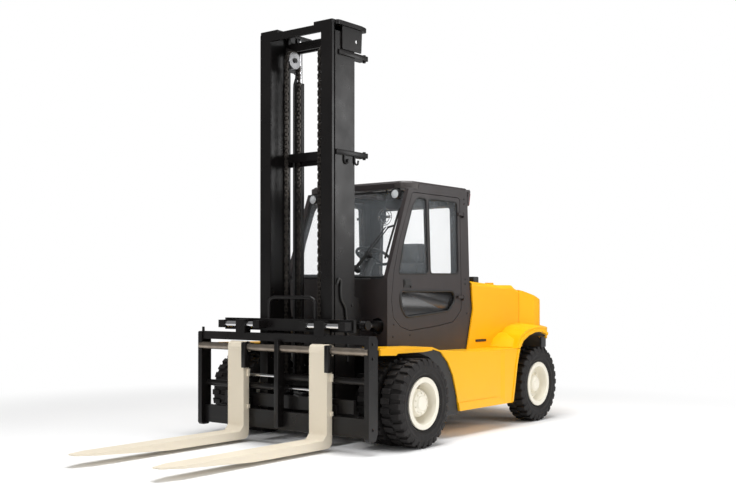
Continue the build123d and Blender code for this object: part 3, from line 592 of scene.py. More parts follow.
def repeated(name, model_mesh, finish_name, count, start=(0, 0, 0), step=(0, 0, 0), first_turn=(0, 0, 0),
             turn=(0, 0, 0)):
    """A mesh with a model repeated along a row or round a ring."""
    model = bpy.data.objects.new(name + "_model", model_mesh)
    carrier = bpy.data.objects.new(name + "_carrier", bpy.data.meshes.new(name + "_carrier"))
    scene.collection.objects.link(model)
    scene.collection.objects.link(carrier)
    modifier = carrier.modifiers.new("repeat", "NODES")
    modifier.node_group = repeat_tree
    values = {
        "Piece": model, "Count": count, "Start": start, "Step": step, "First turn": first_turn, "Turn": turn,
        "Material": finishes[finish_name]}
    for label, value in values.items():
        modifier[repeat_sockets[label]] = value
    graph = bpy.context.evaluated_depsgraph_get()
    mesh = bpy.data.meshes.new_from_object(carrier.evaluated_get(graph))
    carrier.modifiers.remove(modifier)
    bpy.data.objects.remove(carrier)
    bpy.data.objects.remove(model)
    return mesh


print("tree inputs", list(repeat_sockets))

# %% [markdown]
# ## Tyres
# The solid tyre has flat facets and square lugs. Here the carcass is turned smooth with two raised bands on
# its wall, and a bevelled lug is repeated round each shoulder, the two rows half a pitch apart.

# %% Tread lugs on a smooth carcass
tyre_radius = 0.400
shaft_radius = 0.034
shaft_to_axle = 0.662
drive_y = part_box("fork_shaft")[0][1] + shaft_radius + shaft_to_axle
steer_low, steer_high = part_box("steer_tyre_left")
steer_y = (steer_low[1] + steer_high[1]) / 2
outer_x = 1.046
inner_x = 0.788
steer_x = 0.888
lug_count = 28
lug_pitch = 2 * math.pi / lug_count
lug_half = 0.027
lug_top = 0.3995
lug_bevel = 0.0035
narrow_below = 0.05
narrow_share = 0.75
half_wall = [
    (0.0, 0.380), (0.060, 0.3795), (0.099, 0.377), (0.107, 0.356), (0.111, 0.332), (0.1135, 0.326),
    (0.1135, 0.318), (0.1105, 0.312), (0.108, 0.286), (0.1095, 0.281), (0.1085, 0.272), (0.102, 0.266),
    (0.088, 0.247), (0.080, 0.240), (0.078, 0.202)]
wall = [(-width, radius) for width, radius in half_wall[:0:-1]] + half_wall
lug_section = [
    (0.006, -0.372), (0.006, -lug_top), (0.098, -lug_top), (0.114, -0.350), (0.1095, -0.324),
    (0.080, -0.345)]


def lug_mesh(side):
    """One shoulder lug at the bottom of a tyre at the origin, narrower at the tyre's middle."""
    shape = bmesh.new()
    rings = []
    for y in (-lug_half, lug_half):
        ring = []
        for width, z in lug_section:
            share = narrow_share if width < narrow_below else 1.0
            ring.append(Vector((side * width, y * share, z)))
        rings.append(ring)
    add_rings(shape, rings, False)
    bmesh.ops.bevel(shape, geom=shape.edges[:], offset=lug_bevel, segments=1, profile=0.5, affect="EDGES")
    return mesh_of("lug", shape)


def at_axle(x, y):
    return Matrix.Translation((x, y, tyre_radius))


def fit_wheels(name, mesh, finish_name, body, node):
    """A wheel piece and its twin, shown in the place of the two solids."""
    for side, shown in (("left", mesh), ("right", twin(mesh))):
        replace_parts(adopt(f"{name}_{side}", shown, finish_name, f"{body}_{side}"), f"{node}_{side}")


carcass = bmesh.new()
add_turned(carcass, wall, (0, 0, 0), sides=112, closed=True)
tyre_parts = [mesh_of("carcass", carcass)]
for side, first in ((1, 0.0), (-1, lug_pitch / 2)):
    tyre_parts.append(repeated(
        "lugs", lug_mesh(side), "tyre_rubber", lug_count, first_turn=(first, 0, 0), turn=(lug_pitch, 0, 0)))
drive_places = [at_axle(outer_x, drive_y), at_axle(inner_x, drive_y)]
drive_tyre_mesh = gathered("drive_tyres", tyre_parts, drive_places)
steer_tyre_mesh = gathered("steer_tyre", tyre_parts, [at_axle(steer_x, steer_y)])
fit_wheels("drive_tread", drive_tyre_mesh, "tyre_rubber", "drive_wheel", "drive_tyres")
fit_wheels("steer_tread", steer_tyre_mesh, "tyre_rubber", "steer_wheel", "steer_tyre")
print("lugs on a tyre", 2 * lug_count, "faces", len(steer_tyre_mesh.polygons))

# %% [markdown]
# ## Wheels
# The rims keep the solid's section, turned smooth and with rounded edges. A ring of nuts holds each disc, and
# a smaller ring of bolts closes the hub.

# %% Rims and wheel nuts
def rim_section(x):
    """The barrel and the two rolled flanges of a rim, from its inner edge to its outer edge."""
    return [
        (x - 0.098, 0.188), (x - 0.098, 0.236), (x - 0.080, 0.236), (x - 0.079, 0.200), (x + 0.079, 0.200),
        (x + 0.080, 0.236), (x + 0.098, 0.236), (x + 0.098, 0.188)]


rim_round = 0.004
drive_section = [(0.690, 0.071), (0.690, 0.120), (0.838, 0.135), (0.838, 0.188)] + rim_section(inner_x)
drive_section += [(0.856, 0.188), (0.856, 0.135), (0.978, 0.135), (0.978, 0.186)] + rim_section(outer_x)
drive_section += [
    (1.050, 0.178), (0.998, 0.172), (0.996, 0.134), (1.078, 0.124), (1.086, 0.118), (1.106, 0.106),
    (1.110, 0.074), (1.124, 0.060), (1.124, 0.0), (0.957, 0.0), (0.957, 0.071)]
steer_section = [(0.846, 0.053), (0.846, 0.088), (0.866, 0.090), (0.866, 0.188)] + rim_section(steer_x)
steer_section += [
    (0.910, 0.178), (0.884, 0.168), (0.884, 0.098), (0.930, 0.094), (0.948, 0.082), (0.962, 0.058),
    (0.966, 0.0), (0.937, 0.0), (0.937, 0.053)]


def nut_mesh(radius, width, height):
    """A six-sided nut with the end of its stud, on a ring of a given radius, facing the truck's left."""
    shape = bmesh.new()
    spot = (0, 0, -radius)
    nut = [(0, width), (height * 0.8, width), (height, width * 0.85)]
    stud = [(0, width * 0.52), (height * 1.35, width * 0.52), (height * 1.5, width * 0.4)]
    add_turned(shape, nut, spot, sides=6)
    add_turned(shape, stud, spot, sides=12)
    return mesh_of("nut", shape)


def nut_ring(x, y, count, radius, width, height):
    model = nut_mesh(radius, width, height)
    ring = repeated("nuts", model, "wheel_paint", count, turn=(2 * math.pi / count, 0, 0))
    return gathered("nuts", [ring], [at_axle(x, y)])


def rim_mesh(name, section, y, rings):
    shape = bmesh.new()
    add_turned(shape, rounded(section, rim_round), (0, y, tyre_radius), sides=96, closed=True)
    return gathered(name, [mesh_of(name, shape)] + rings, [Matrix.Identity(4)])


drive_rim_mesh = rim_mesh("drive_rims", drive_section, drive_y, [
    nut_ring(0.997, drive_y, count=10, radius=0.153, width=0.014, height=0.024),
    nut_ring(1.106, drive_y, count=10, radius=0.091, width=0.0085, height=0.011)])
steer_rim_mesh = rim_mesh("steer_rim", steer_section, steer_y, [
    nut_ring(0.884, steer_y, count=8, radius=0.132, width=0.014, height=0.020),
    nut_ring(0.954, steer_y, count=6, radius=0.050, width=0.006, height=0.010)])
fit_wheels("drive_rim", drive_rim_mesh, "wheel_paint", "drive_wheel", "drive_rims")
fit_wheels("steer_rim", steer_rim_mesh, "wheel_paint", "steer_wheel", "steer_rim")
print("rim faces", len(drive_rim_mesh.polygons))

# %% [markdown]
# ## Lift chains
# A leaf chain is rows of thin plates on cross pins. Two pitches are modelled, and the tree repeats them up
# each run, from its foot to the sheave. Eight more links bend over each sheave.

# %% Leaf chains
chain_x = 0.205
chain_pitch = 0.0381
leaf_round = 0.0085
leaf_width = 0.0066
leaf_waist = 0.7
outer_leaves = (-0.0164, 0.0, 0.0164)
inner_leaves = (-0.0082, 0.0082)
pin_half = 0.0205
pin_radius = 0.0045
sheave_z = 3.600
sheave_spot = Vector((drive_y - 0.256, sheave_z))
wrap_radius = 0.088
wrap_links = 8
front_foot = 0.600
back_foot = 0.330


def add_leaf(shape, x, start, end):
    """A plate from one pin to the next, given as (y, z), with a narrow waist."""
    start, end = Vector(start), Vector(end)
    along = (end - start).normalized()
    across = Vector((-along.y, along.x))
    waist = (start + end) / 2
    outline = []
    for spot, sign in ((start, -1), (end, 1)):
        for degrees in (-80, -30, 30, 80):
            angle = math.radians(degrees)
            outline.append(spot + (along * math.cos(angle) + across * math.sin(angle)) * sign * leaf_round)
        outline.append(waist + across * sign * leaf_round * leaf_waist)
    add_plate(shape, [tuple(point) for point in outline], x - leaf_width / 2, x + leaf_width / 2)


def add_link(shape, leaves, start, end):
    """The plates of one pitch and the pin that they start on."""
    for x in leaves:
        add_leaf(shape, x, start, end)
    pin_ends = [(-pin_half, pin_radius), (pin_half, pin_radius)]
    add_turned(shape, pin_ends, (0, start[0], start[1]), sides=8)


def sheave_arc(steps):
    """Points (y, z) over the top of a sheave, from back to front."""
    turns = [i * math.pi / steps for i in range(steps + 1)]
    return [sheave_spot + wrap_radius * Vector((math.cos(turn), math.sin(turn))) for turn in turns]


def chain_places(y, z):
    """The same height and depth on the left and the right chain."""
    return [Matrix.Translation((side * chain_x, y, z)) for side in (1, -1)]


def chain_run(name, y, low, high, node):
    """Both chains of one run, from its foot up to the sheave."""
    pitches = bmesh.new()
    add_link(pitches, outer_leaves, (0, 0), (0, chain_pitch))
    add_link(pitches, inner_leaves, (0, chain_pitch), (0, 2 * chain_pitch))
    count = int((high - low) / (2 * chain_pitch))
    row = repeated(name, mesh_of("pitches", pitches), "chain_steel", count, step=(0, 0, (high - low) / count))
    chain = adopt(name, gathered(name, [row], chain_places(y, low)), "chain_steel", None)
    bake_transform(chain)
    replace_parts(chain, node)
    return count


front_y = sheave_spot.x - wrap_radius
back_y = sheave_spot.x + wrap_radius
front_count = chain_run(
    "chain_links_front", front_y, front_foot, sheave_z, "chain_front")
back_count = chain_run(
    "chain_links_back", back_y, back_foot, sheave_z, "chain_back")
wrap = bmesh.new()
arc = sheave_arc(wrap_links)
for i in range(wrap_links):
    add_link(wrap, outer_leaves if i % 2 else inner_leaves, arc[i], arc[i + 1])
wrap_mesh = gathered("chain_wraps", [mesh_of("wrap", wrap)], chain_places(0, 0))
adopt("chain_wraps", wrap_mesh, "chain_steel", "mast_inner")
print("pitches", 2 * front_count, 2 * back_count)

# %% [markdown]
# ## Mast hoses
# A hydraulic hose runs up beside each back chain and bends to a block on the sheave's plate.

# %% Hoses and chain ends in the mast
both_sides = (("left", 1), ("right", -1))
hose_radius = 0.010
hose_x = 0.270
hose_foot = 0.400
hose_rise = 2.900
hose_steps = 24


def mirrored(path):
    """The same path on the truck's other side."""
    return [(-x, y, z) for x, y, z in path]


def mirrored_tubes(paths, radius, sides=10):
    """One shape with a tube along each path and its twin on the other side."""
    shape = bmesh.new()
    for path in paths:
        add_tube(shape, path, radius, sides)
        add_tube(shape, mirrored(path), radius, sides)
    return shape


hose_path = [(hose_x, back_y + 0.004, hose_foot + hose_rise * i / hose_steps) for i in range(hose_steps + 1)]
hose_bend = [
    hose_path.pop(), (0.266, back_y + 0.005, 3.400), (0.240, back_y + 0.012, 3.480),
    (0.226, back_y + 0.016, 3.520)]
hose_path += eased(hose_bend, 5)
back_hose = piece_of("hose_back", mirrored_tubes([hose_path], hose_radius), "hose_rubber", None)
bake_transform(back_hose)
clevises = bmesh.new()
add_box_pair(
    clevises, (chain_x - 0.024, front_y - 0.014, 0.560), (chain_x + 0.024, front_y + 0.014, 0.622), 0.003)
piece_of("chain_clevises", clevises, "mast_paint", "carriage")
blocks = bmesh.new()
add_box_pair(blocks, (0.200, back_y + 0.006, 3.512), (0.242, back_y + 0.026, 3.570), 0.003)
piece_of("hose_blocks", blocks, "bare_steel", "mast_inner")
print("mast hoses", 2)

# %% [markdown]
# ## Mast trim
# A thick gusset with a hole closes each side of the inner mast's top. Below it, collars wrap the outer rails,
# with two hose hooks under the middle one, and a cable lies on the rail beside the tilt lug.

# %% Gussets, collars and hooks on the mast
def add_bolt(shape, spot, axis, width=0.012, height=0.009):
    """A hexagon head on a washer."""
    add_turned(shape, [(0, width * 1.35), (height * 0.25, width * 1.35)], spot, axis, sides=16)
    add_turned(shape, [(0, width), (height * 0.85, width), (height, width * 0.8)], spot, axis, sides=6)


def ring_plate(shape, outline, hole_spot, hole_radius, low, high):
    """A side plate with a round hole, built from strips between its outline and the hole."""
    centre = Vector(hole_spot)
    hole = [centre + (Vector(point) - centre).normalized() * hole_radius for point in outline]
    rings = []
    for level, loop in ((low, hole), (low, outline), (high, outline), (high, hole)):
        rings.append([Vector((level, point[0], point[1])) for point in loop])
    add_rings(shape, rings, True)


gusset_line = rounded([(-0.560, 3.840), (-0.268, 3.840), (-0.280, 3.615), (-0.560, 3.613)], 0.01)
gusset_hole = (-0.350, 3.709)
top_line = [(0.405, -0.640), (0.474, -0.640), (0.480, -0.290), (0.455, -0.190), (0.405, -0.190)]
collar_spots = [(-0.600, 3.560), (-0.638, 2.648)]
collar_back = -0.176
hook_x = 0.452
hook_line = [(0.0, 2.655), (0.0, 2.600), (0.018, 2.575), (0.045, 2.582), (0.052, 2.615)]
cable = [
    (0.450, -0.622, 1.470), (0.455, -0.600, 1.515), (0.456, -0.575, 1.490), (0.456, -0.578, 1.420),
    (0.456, -0.568, 1.330), (0.456, -0.512, 1.250), (0.456, -0.497, 1.160), (0.456, -0.480, 0.960),
    (0.450, -0.470, 0.760)]
pin_cap = [(0.0, 0.047), (0.008, 0.047), (0.011, 0.043)]
gussets = bmesh.new()
collars = bmesh.new()
pin_caps = bmesh.new()
for front, z in collar_spots:
    add_box_pair(collars, (0.443, front, z - 0.001), (0.460, collar_back, z + 0.046), 0.004)
for side in (1, -1):
    ring_plate(gussets, gusset_line, gusset_hole, 0.022, side * 0.450, side * 0.460)
    add_plate(gussets, rounded([(side * x, y) for x, y in top_line], 0.03), 3.826, 3.866, axis=2)
    for y in (-0.520, -0.370):
        hook = eased([(hook_x, y + back, z) for back, z in hook_line], 4)
        add_tube(collars, [(side * x, hook_y, z) for x, hook_y, z in hook], 0.009, 8)
    for z in (0.95, 1.27):
        add_bolt(collars, (side * 0.444, -0.400, z), (side, 0, 0))
    add_turned(pin_caps, pin_cap, (side * 0.5545, -0.309, 1.085), (side, 0, 0), 32)
piece_of("mast_gussets", gussets, "mast_paint", "mast_inner")
piece_of("mast_collars", collars, "mast_paint", "mast_outer")
piece_of("mast_cables", mirrored_tubes([eased(cable, 6)], 0.010), "hose_rubber", "mast_outer")
piece_of("tilt_pin_caps", pin_caps, "mast_paint", "mast_outer")
print("mast trim", 4)

# %% [markdown]
# ## Window seals and the tinted lower pane
# Each pane sits in a rubber bead, and a second seal fills the gap round the door. The lower pane is dark, so
# the door's glass is split into two pieces with their own finish.

# %% Seals and panes
cab_face = 0.640
pane_split = 1.48
door_line = [
    (184, 1320), (226, 1601), (312, 1886), (442, 2178), (528, 2362), (1370, 2362), (1399, 1414), (1399, 1209),
    (1248, 1089), (974, 1056), (491, 1021), (328, 1063), (215, 1151)]
front_pane = [(303, 1565), (386, 1880), (532, 2230), (610, 2312), (765, 2312), (800, 1572)]
rear_pane = [(836, 1573), (800, 2312), (1318, 2312), (1346, 1578)]
lower_pane = [(328, 1404), (1248, 1404), (1280, 1313), (1174, 1202), (425, 1151), (328, 1262)]


def on_truck(points):
    """Millimetres behind the drive axle and above the ground, in the truck's own metres."""
    return [(drive_y + y / 1000, z / 1000) for y, z in points]


def side_bead(shape, outline, corner, x, radius):
    """A rubber bead along a closed side outline."""
    loop = rounded(on_truck(outline), corner)
    add_tube(shape, [(x, y, z) for y, z in loop], radius, 8, closed=True)


def pane_mesh(node, lower):
    """The door's lower pane, or its two upper ones, copied from the solid."""
    shape = bmesh.new()
    shape.from_mesh(nodes[node].data)
    bmesh.ops.remove_doubles(shape, verts=shape.verts, dist=1e-5)
    spare = [vert for vert in shape.verts if (vert.co.z < pane_split) != lower]
    bmesh.ops.delete(shape, geom=spare, context="VERTS")
    return mesh_of(node + ("_lower" if lower else "_upper"), shape)


screen_low = (drive_y + 0.158, 1.5185)
screen_high = (drive_y + 0.504, 2.3975)


def on_screen(x, share):
    """A point just in front of the windshield, a share of the way up it."""
    y = screen_low[0] + (screen_high[0] - screen_low[0]) * share - 0.004
    return x, y, screen_low[1] + (screen_high[1] - screen_low[1]) * share


for side, sign in both_sides:
    beads = bmesh.new()
    for outline in (front_pane, rear_pane):
        side_bead(beads, outline, corner=0.04, x=sign * 0.636, radius=0.008)
    side_bead(beads, lower_pane, corner=0.05, x=sign * 0.637, radius=0.012)
    piece_of(f"pane_seals_{side}", beads, "black_rubber", f"door_{side}")
    gap_seal = bmesh.new()
    side_bead(gap_seal, door_line, corner=0.07, x=sign * 0.612, radius=0.0025)
    piece_of(f"door_seal_{side}", gap_seal, "black_rubber", "chassis")
    node = f"door_glass_{side}"
    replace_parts(adopt(f"upper_panes_{side}", pane_mesh(node, False), "cab_glass", f"door_{side}"), node)
    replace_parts(adopt(f"lower_pane_{side}", pane_mesh(node, True), "lower_glass", f"door_{side}"), node)
screen_seal = bmesh.new()
screen_loop = rounded([(-0.592, 0.02), (0.592, 0.02), (0.592, 0.97), (-0.592, 0.97)], 0.05)
add_tube(screen_seal, [on_screen(x, share) for x, share in screen_loop], 0.011, 8, closed=True)
rear_loop = rounded([(-0.468, 1.562), (0.468, 1.562), (0.448, 2.288), (-0.448, 2.288)], 0.05)
add_tube(screen_seal, [(x, drive_y + 1.505, z) for x, z in rear_loop], 0.010, 8, closed=True)
roof_loop = rounded([(-0.418, 0.622), (0.418, 0.622), (0.418, 1.398), (-0.418, 1.398)], 0.06)
add_tube(screen_seal, [(x, drive_y + y, 2.468) for x, y in roof_loop], 0.009, 8, closed=True)
piece_of("screen_seals", screen_seal, "black_rubber", "chassis")
print("seal loops", 11)

# %% [markdown]
# ## Cab fittings
# The roof's front corners carry ribbed caps, the lamps get lenses, and a parallel-arm wiper lies on the
# windshield. Hexagon bolts and a flush latch finish the sides.

# %% Roof caps and lamp lenses
cap_line = [
    (0.470, 0.452), (0.574, 0.452), (0.646, 0.555), (0.646, 0.640), (0.560, 0.640), (0.540, 0.520),
    (0.470, 0.500)]
rib_pitch = 0.0105
rib_reach = 0.004
cap_levels = [(2.394, 2.452, 0.0)]
cap_levels += [(2.400 + i * rib_pitch, 2.405 + i * rib_pitch, rib_reach) for i in range(5)]
lens_profile = [(0.0, 0.043), (0.004, 0.042), (0.008, 0.034), (0.010, 0.018), (0.011, 0.0)]
bezel_profile = [(-0.006, 0.052), (0.010, 0.052), (0.012, 0.049), (0.010, 0.044), (-0.006, 0.044)]
caps = bmesh.new()
lenses = bmesh.new()
bezels = bmesh.new()
for sign in (1, -1):
    for low, high, reach in cap_levels:
        outline = [(sign * (x + reach * (x > 0.57)), drive_y + y - reach * (y < 0.56)) for x, y in cap_line]
        add_plate(caps, rounded(outline, 0.03), low, high, axis=2)
    lamp_spot = (sign * 0.520, drive_y + 0.408, 2.338)
    add_turned(lenses, lens_profile, lamp_spot, (0, -1, 0), 32)
    add_turned(bezels, bezel_profile, lamp_spot, (0, -1, 0), 32, closed=True)
piece_of("roof_caps", caps, "cab_trim", "chassis")
piece_of("lamp_lenses", lenses, "lamp_glass", "chassis")
piece_of("lamp_bezels", bezels, "lamp_shell", "chassis")
amber = bmesh.new()
add_box_pair(amber, (0.576, drive_y + 1.566, 2.312), (0.624, drive_y + 1.586, 2.352), 0.004)
piece_of("tail_amber_lenses", amber, "tail_amber", "chassis")
print("lamp pieces", 3)

# %% Wiper
wiper = bmesh.new()
wiper_foot = Vector((0.234, -0.083, 1.622))
wiper_elbow = Vector((0.339, -0.034, 1.760))
wiper_tip = Vector((0.500, 0.070, 2.010))
blade_high = Vector((0.578, 0.160, 2.200))
blade_low = Vector((0.545, -0.030, 1.715))
to_glass = Vector((0, 0.931, -0.366))
add_turned(wiper, [(-0.012, 0.030), (0.010, 0.032), (0.050, 0.032)], wiper_foot, to_glass, 20)
add_turned(wiper, [(-0.012, 0.024), (0.010, 0.026), (0.050, 0.026)], wiper_elbow, to_glass, 20)
add_tube(wiper, [wiper_foot, wiper_elbow], 0.017, 10)
for shift in (Vector((0.010, 0, 0)), Vector((-0.018, 0, 0.008))):
    add_tube(wiper, [wiper_elbow + shift, wiper_tip + shift], 0.006, 8)
add_tube(wiper, [blade_high, blade_low], 0.008, 8)
add_tube(wiper, [blade_high + to_glass * 0.012, blade_low + to_glass * 0.012], 0.005, 6)
clip = blade_high.lerp(blade_low, 0.35)
add_tube(wiper, [wiper_tip, wiper_tip.lerp(clip, 0.6), clip], 0.010, 8)
piece_of("wiper", wiper, "black_plastic", "chassis")
print("wiper reach", round((wiper_tip - wiper_foot).length, 3))

# %% Latches and bolts on the cab
side_bolts = [
    (1450, 2353), (1450, 2303), (1472, 1526), (1472, 1476), (1507, 1174), (221, 1088), (211, 974),
    (486, 982)]
latch_line = rounded(on_truck([(382, 1436), (502, 1436), (502, 1518), (382, 1518)]), 0.012)
paddle_line = rounded(on_truck([(392, 1458), (484, 1458), (484, 1506), (392, 1506)]), 0.010)
lock_profile = [(0.0, 0.012), (0.010, 0.012), (0.012, 0.009)]
latch_back = 0.636
latch_face = 0.645
paddle_face = 0.652
cab_bolts = bmesh.new()
for side, sign in both_sides:
    for y, z in on_truck(side_bolts):
        add_bolt(cab_bolts, (sign * cab_face, y, z), (sign, 0, 0), width=0.008, height=0.007)
    latch = bmesh.new()
    add_plate(latch, latch_line, sign * latch_back, sign * latch_face)
    add_plate(latch, paddle_line, sign * latch_face, sign * paddle_face)
    add_turned(latch, lock_profile, (sign * 0.643, drive_y + 0.493, 1.448), (sign, 0, 0), 20)
    piece_of(f"door_latch_{side}", latch, "black_plastic", f"door_{side}")
piece_of("cab_bolts", cab_bolts, "black_plastic", "chassis")
print("cab bolts", 2 * len(side_bolts))

# %% [markdown]
# ## Carriage and forks
# The carriage carries a bent guard tube, and hoses cross from it to the side-shift frame. Each fork has a
# black guide bracket and two small stops on its left edge.

# %% Trim on the carriage and forks
guard_half = [(0.283, -0.735, 1.140), (0.283, -0.735, 1.270), (0.272, -0.735, 1.318), (0.225, -0.735, 1.345)]
guard_path = eased(guard_half, 5)
guard = bmesh.new()
add_tube(guard, guard_path + mirrored(reversed(guard_path)), 0.018, 12)
piece_of("carriage_guard", guard, "mast_paint", "carriage")
fork_x = 0.504
fork_half = 0.102
for side, sign in both_sides:
    edge = sign * fork_x + fork_half
    bracket = bmesh.new()
    add_box(bracket, (edge - 0.030, -0.960, 0.690), (edge + 0.018, -0.905, 0.930), 0.006)
    add_box(bracket, (edge - 0.004, -0.955, 0.695), (edge + 0.016, -0.882, 0.836), 0.004)
    piece_of(f"fork_bracket_{side}", bracket, "mast_paint", f"fork_{side}")
    stops = bmesh.new()
    for low, high in ((0.312, 0.350), (0.610, 0.680)):
        add_box(stops, (edge - 0.004, -0.912, low), (edge + 0.016, -0.884, high), 0.003)
    piece_of(f"fork_stops_{side}", stops, "fork_paint", f"fork_{side}")
shift_trim = bmesh.new()
add_box(shift_trim, (-0.025, -0.950, 0.169), (0.025, -0.928, 0.960), 0.004)
peg_profile = [(0.0, 0.013), (0.040, 0.013), (0.044, 0.009)]
add_turned(shift_trim, peg_profile, (-1.020, -0.879, 1.016), (0, 0, 1), 16)
for sign in (1, -1):
    for y, z in ((-0.866, 0.949), (-0.866, 0.824), (-0.863, 0.216)):
        add_bolt(shift_trim, (sign * 1.045, y, z), (sign, 0, 0))
piece_of("shift_frame_trim", shift_trim, "mast_paint", "shift_frame")
crossing = [
    (0.130, -0.585, 0.515), (0.170, -0.660, 0.470), (0.180, -0.750, 0.470), (0.150, -0.800, 0.475),
    (0.110, -0.828, 0.492)]
hose_paths = [[(x, y, z - drop) for x, y, z in eased(crossing, 6)] for drop in (0.0, 0.026)]
cross_hoses = piece_of("cross_hoses", mirrored_tubes(hose_paths, 0.011), "hose_rubber", None)
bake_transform(cross_hoses)
print("carriage trim", 7)

# %% [markdown]
# ## Rear body
# Black liners close the rear wheel wells, and black bands under the tail's corners paint the shade beneath
# the rear fender. A filler plate joins the hood's side to the fender, and a breather stands on the hood.

# %% Liners, painted shade bands, fillers and handles
def behind(points):
    """Millimetres behind the steer axle and above the ground, in the truck's own metres."""
    return [(steer_y + y / 1000, z / 1000) for y, z in points]


def thickened(line, y_step, z_step):
    """A closed outline from an open line and the same line moved a little."""
    return line + [(y + y_step, z + z_step) for y, z in reversed(line)]


well_line = behind([(-460, 797), (-394, 869), (-274, 924), (-127, 955), (24, 957), (150, 912)])
tail_line = behind([(148, 912), (300, 822), (380, 715)])
cover_line = behind([(-476, 800), (-406, 882), (-284, 940), (-150, 964)])
handle_line = rounded([(1.412, 0.873), (1.610, 0.873), (1.610, 0.895), (1.412, 0.895)], 0.006)
well_side = 0.600
shade_band_x = 0.445
shade_band_y = steer_y + 0.020
shade_band_radius = 0.545
shade_band_wall = 0.015
shade_band_turns = [math.radians(4 + 8 * i) for i in range(11)]


def shade_band_arc(sign, radius):
    """Points (x, y) round one corner of the tail."""
    ring = [(radius * math.cos(turn), radius * math.sin(turn)) for turn in shade_band_turns]
    return [(sign * (shade_band_x + x), shade_band_y + y) for x, y in ring]


liners = bmesh.new()
shade_bands = bmesh.new()
fillers = bmesh.new()
for sign in (1, -1):
    add_plate(liners, thickened(well_line, 0, 0.008), sign * well_side, sign * 0.985)
    add_plate(liners, thickened(tail_line, 0, 0.008), sign * well_side, sign * 0.880)
    add_plate(liners, handle_line, sign * 0.652, sign * 0.664)
    # Painted shade: a plain black band round each tail corner stands for the shadow under the rear fender.
    corner = shade_band_arc(sign, shade_band_radius) + shade_band_arc(sign, shade_band_radius - shade_band_wall)[::-1]
    add_plate(shade_bands, corner, 0.790, 0.905, axis=2)
    add_plate(fillers, thickened(cover_line, -0.006, 0.012), sign * 0.655, sign * 0.984)
add_box_pair(fillers, (0.648, steer_y - 0.480, 0.812), (0.658, steer_y - 0.150, 0.970))
add_box(liners, (-0.330, steer_y + 0.522, 1.000), (0.330, steer_y + 0.526, 1.200))
piece_of("well_liners", liners, "black_plastic", "chassis")
piece_of("rear_skirts", shade_bands, "black_plastic", "chassis")
piece_of("hood_fillers", fillers, "yellow_paint", "chassis")
stack = bmesh.new()
add_box(stack, (0.555, 1.428, 1.480), (0.625, 1.528, 1.556), 0.012)
piece_of("hood_breather", stack, "black_plastic", "hood_lid")
print("rear pieces", 4)

# %% [markdown]
# ## Seat
# The cushion and the backrest are blown up like real upholstery: each closed form is remeshed, pinned along
# its seams and inflated by a short cloth run, so that the panels swell between the stitched channels.

# %% Padded seat
voxel = 0.010
swell_limit = 0.016
seam_depth = 0.006
seam_reach = 0.6 * voxel
cloth_pressure = 4.0
cloth_frames = 20


def baked(piece):
    """The piece's mesh with its modifiers applied."""
    graph = bpy.context.evaluated_depsgraph_get()
    mesh = bpy.data.meshes.new_from_object(piece.evaluated_get(graph))
    piece.modifiers.clear()
    return mesh


def swell(piece, seams):
    """Inflates a closed form between its seams and keeps every point near where it started."""
    held = piece.vertex_groups.new(name="seam")
    for vert in piece.data.vertices:
        if any(abs(abs(vert.co[axis]) - value) < seam_reach for axis, value in seams):
            vert.co -= vert.normal * seam_depth
            held.add([vert.index], 1.0, "ADD")
    start = [vert.co.copy() for vert in piece.data.vertices]
    cloth = piece.modifiers.new("cloth", "CLOTH")
    cloth.settings.vertex_group_mass = "seam"
    cloth.settings.use_pressure = True
    cloth.settings.uniform_pressure_force = cloth_pressure
    cloth.settings.effector_weights.gravity = 0.0
    for step in range(1, cloth_frames + 1):
        scene.frame_set(step)
    swollen = [vert.co.copy() for vert in baked(piece).vertices]
    scene.frame_set(1)
    for vert, old, new in zip(piece.data.vertices, start, swollen):
        travel = new - old
        vert.co = old + travel * min(1.0, swell_limit / max(travel.length, 1e-6))


def padded_form(name, outline, half, seams):
    """A padded piece from its side outline and half its width."""
    shape = bmesh.new()
    loop = [Vector((0, y, z)) for y, z in rounded(outline, 0.04)]
    middle = sum(loop, Vector()) / len(loop)
    taper = [(1.0, 0.78), (0.97, 0.87), (0.90, 0.95), (0.78, 0.99), (0.60, 1.0)]
    rings = []
    for share, scale in [(-share, scale) for share, scale in taper] + taper[::-1]:
        rings.append([middle + (point - middle) * scale + Vector((share * half, 0, 0)) for point in loop])
    add_rings(shape, rings, False)
    piece = piece_of(name, shape, "seat_cloth", None, 180)
    remesh = piece.modifiers.new("remesh", "REMESH")
    remesh.mode = "VOXEL"
    remesh.voxel_size = voxel
    piece.data = baked(piece)
    swell(piece, seams)
    finer = piece.modifiers.new("finer", "SUBSURF")
    finer.levels = 1
    piece.data = baked(piece)
    piece.data.shade_smooth()
    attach(piece, "chassis")
    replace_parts(piece, "seat")
    print(name, len(piece.data.polygons))


cushion_line = [(0.606, 1.196), (1.066, 1.190), (1.066, 1.285), (0.700, 1.290), (0.606, 1.270)]
backrest_line = [(1.022, 1.290), (1.120, 1.284), (1.166, 1.900), (1.110, 1.914), (1.066, 1.700)]
padded_form("seat_cushion", cushion_line, 0.236, [(0, 0.150), (1, 0.800)])
padded_form("seat_backrest", backrest_line, 0.224, [(0, 0.140), (2, 1.500), (2, 1.700)])
pedestal = bmesh.new()
add_box(pedestal, (-0.230, 0.651, 0.830), (0.230, 1.111, 0.900), 0.010)
bellow_pitch = 0.05
for i in range(5):
    grow = 0.012 * (i % 2)
    rise = bellow_pitch * i
    bellow_low = (-0.205 - grow, 0.680 - grow, 0.898 + rise)
    bellow_high = (0.205 + grow, 1.080 + grow, 0.950 + rise)
    add_box(pedestal, bellow_low, bellow_high, 0.012)
add_box(pedestal, (-0.220, 0.651, 1.145), (0.220, 1.100, 1.188), 0.010)
seat_base = piece_of("seat_pedestal", pedestal, "black_plastic", "chassis")
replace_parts(seat_base, "seat")

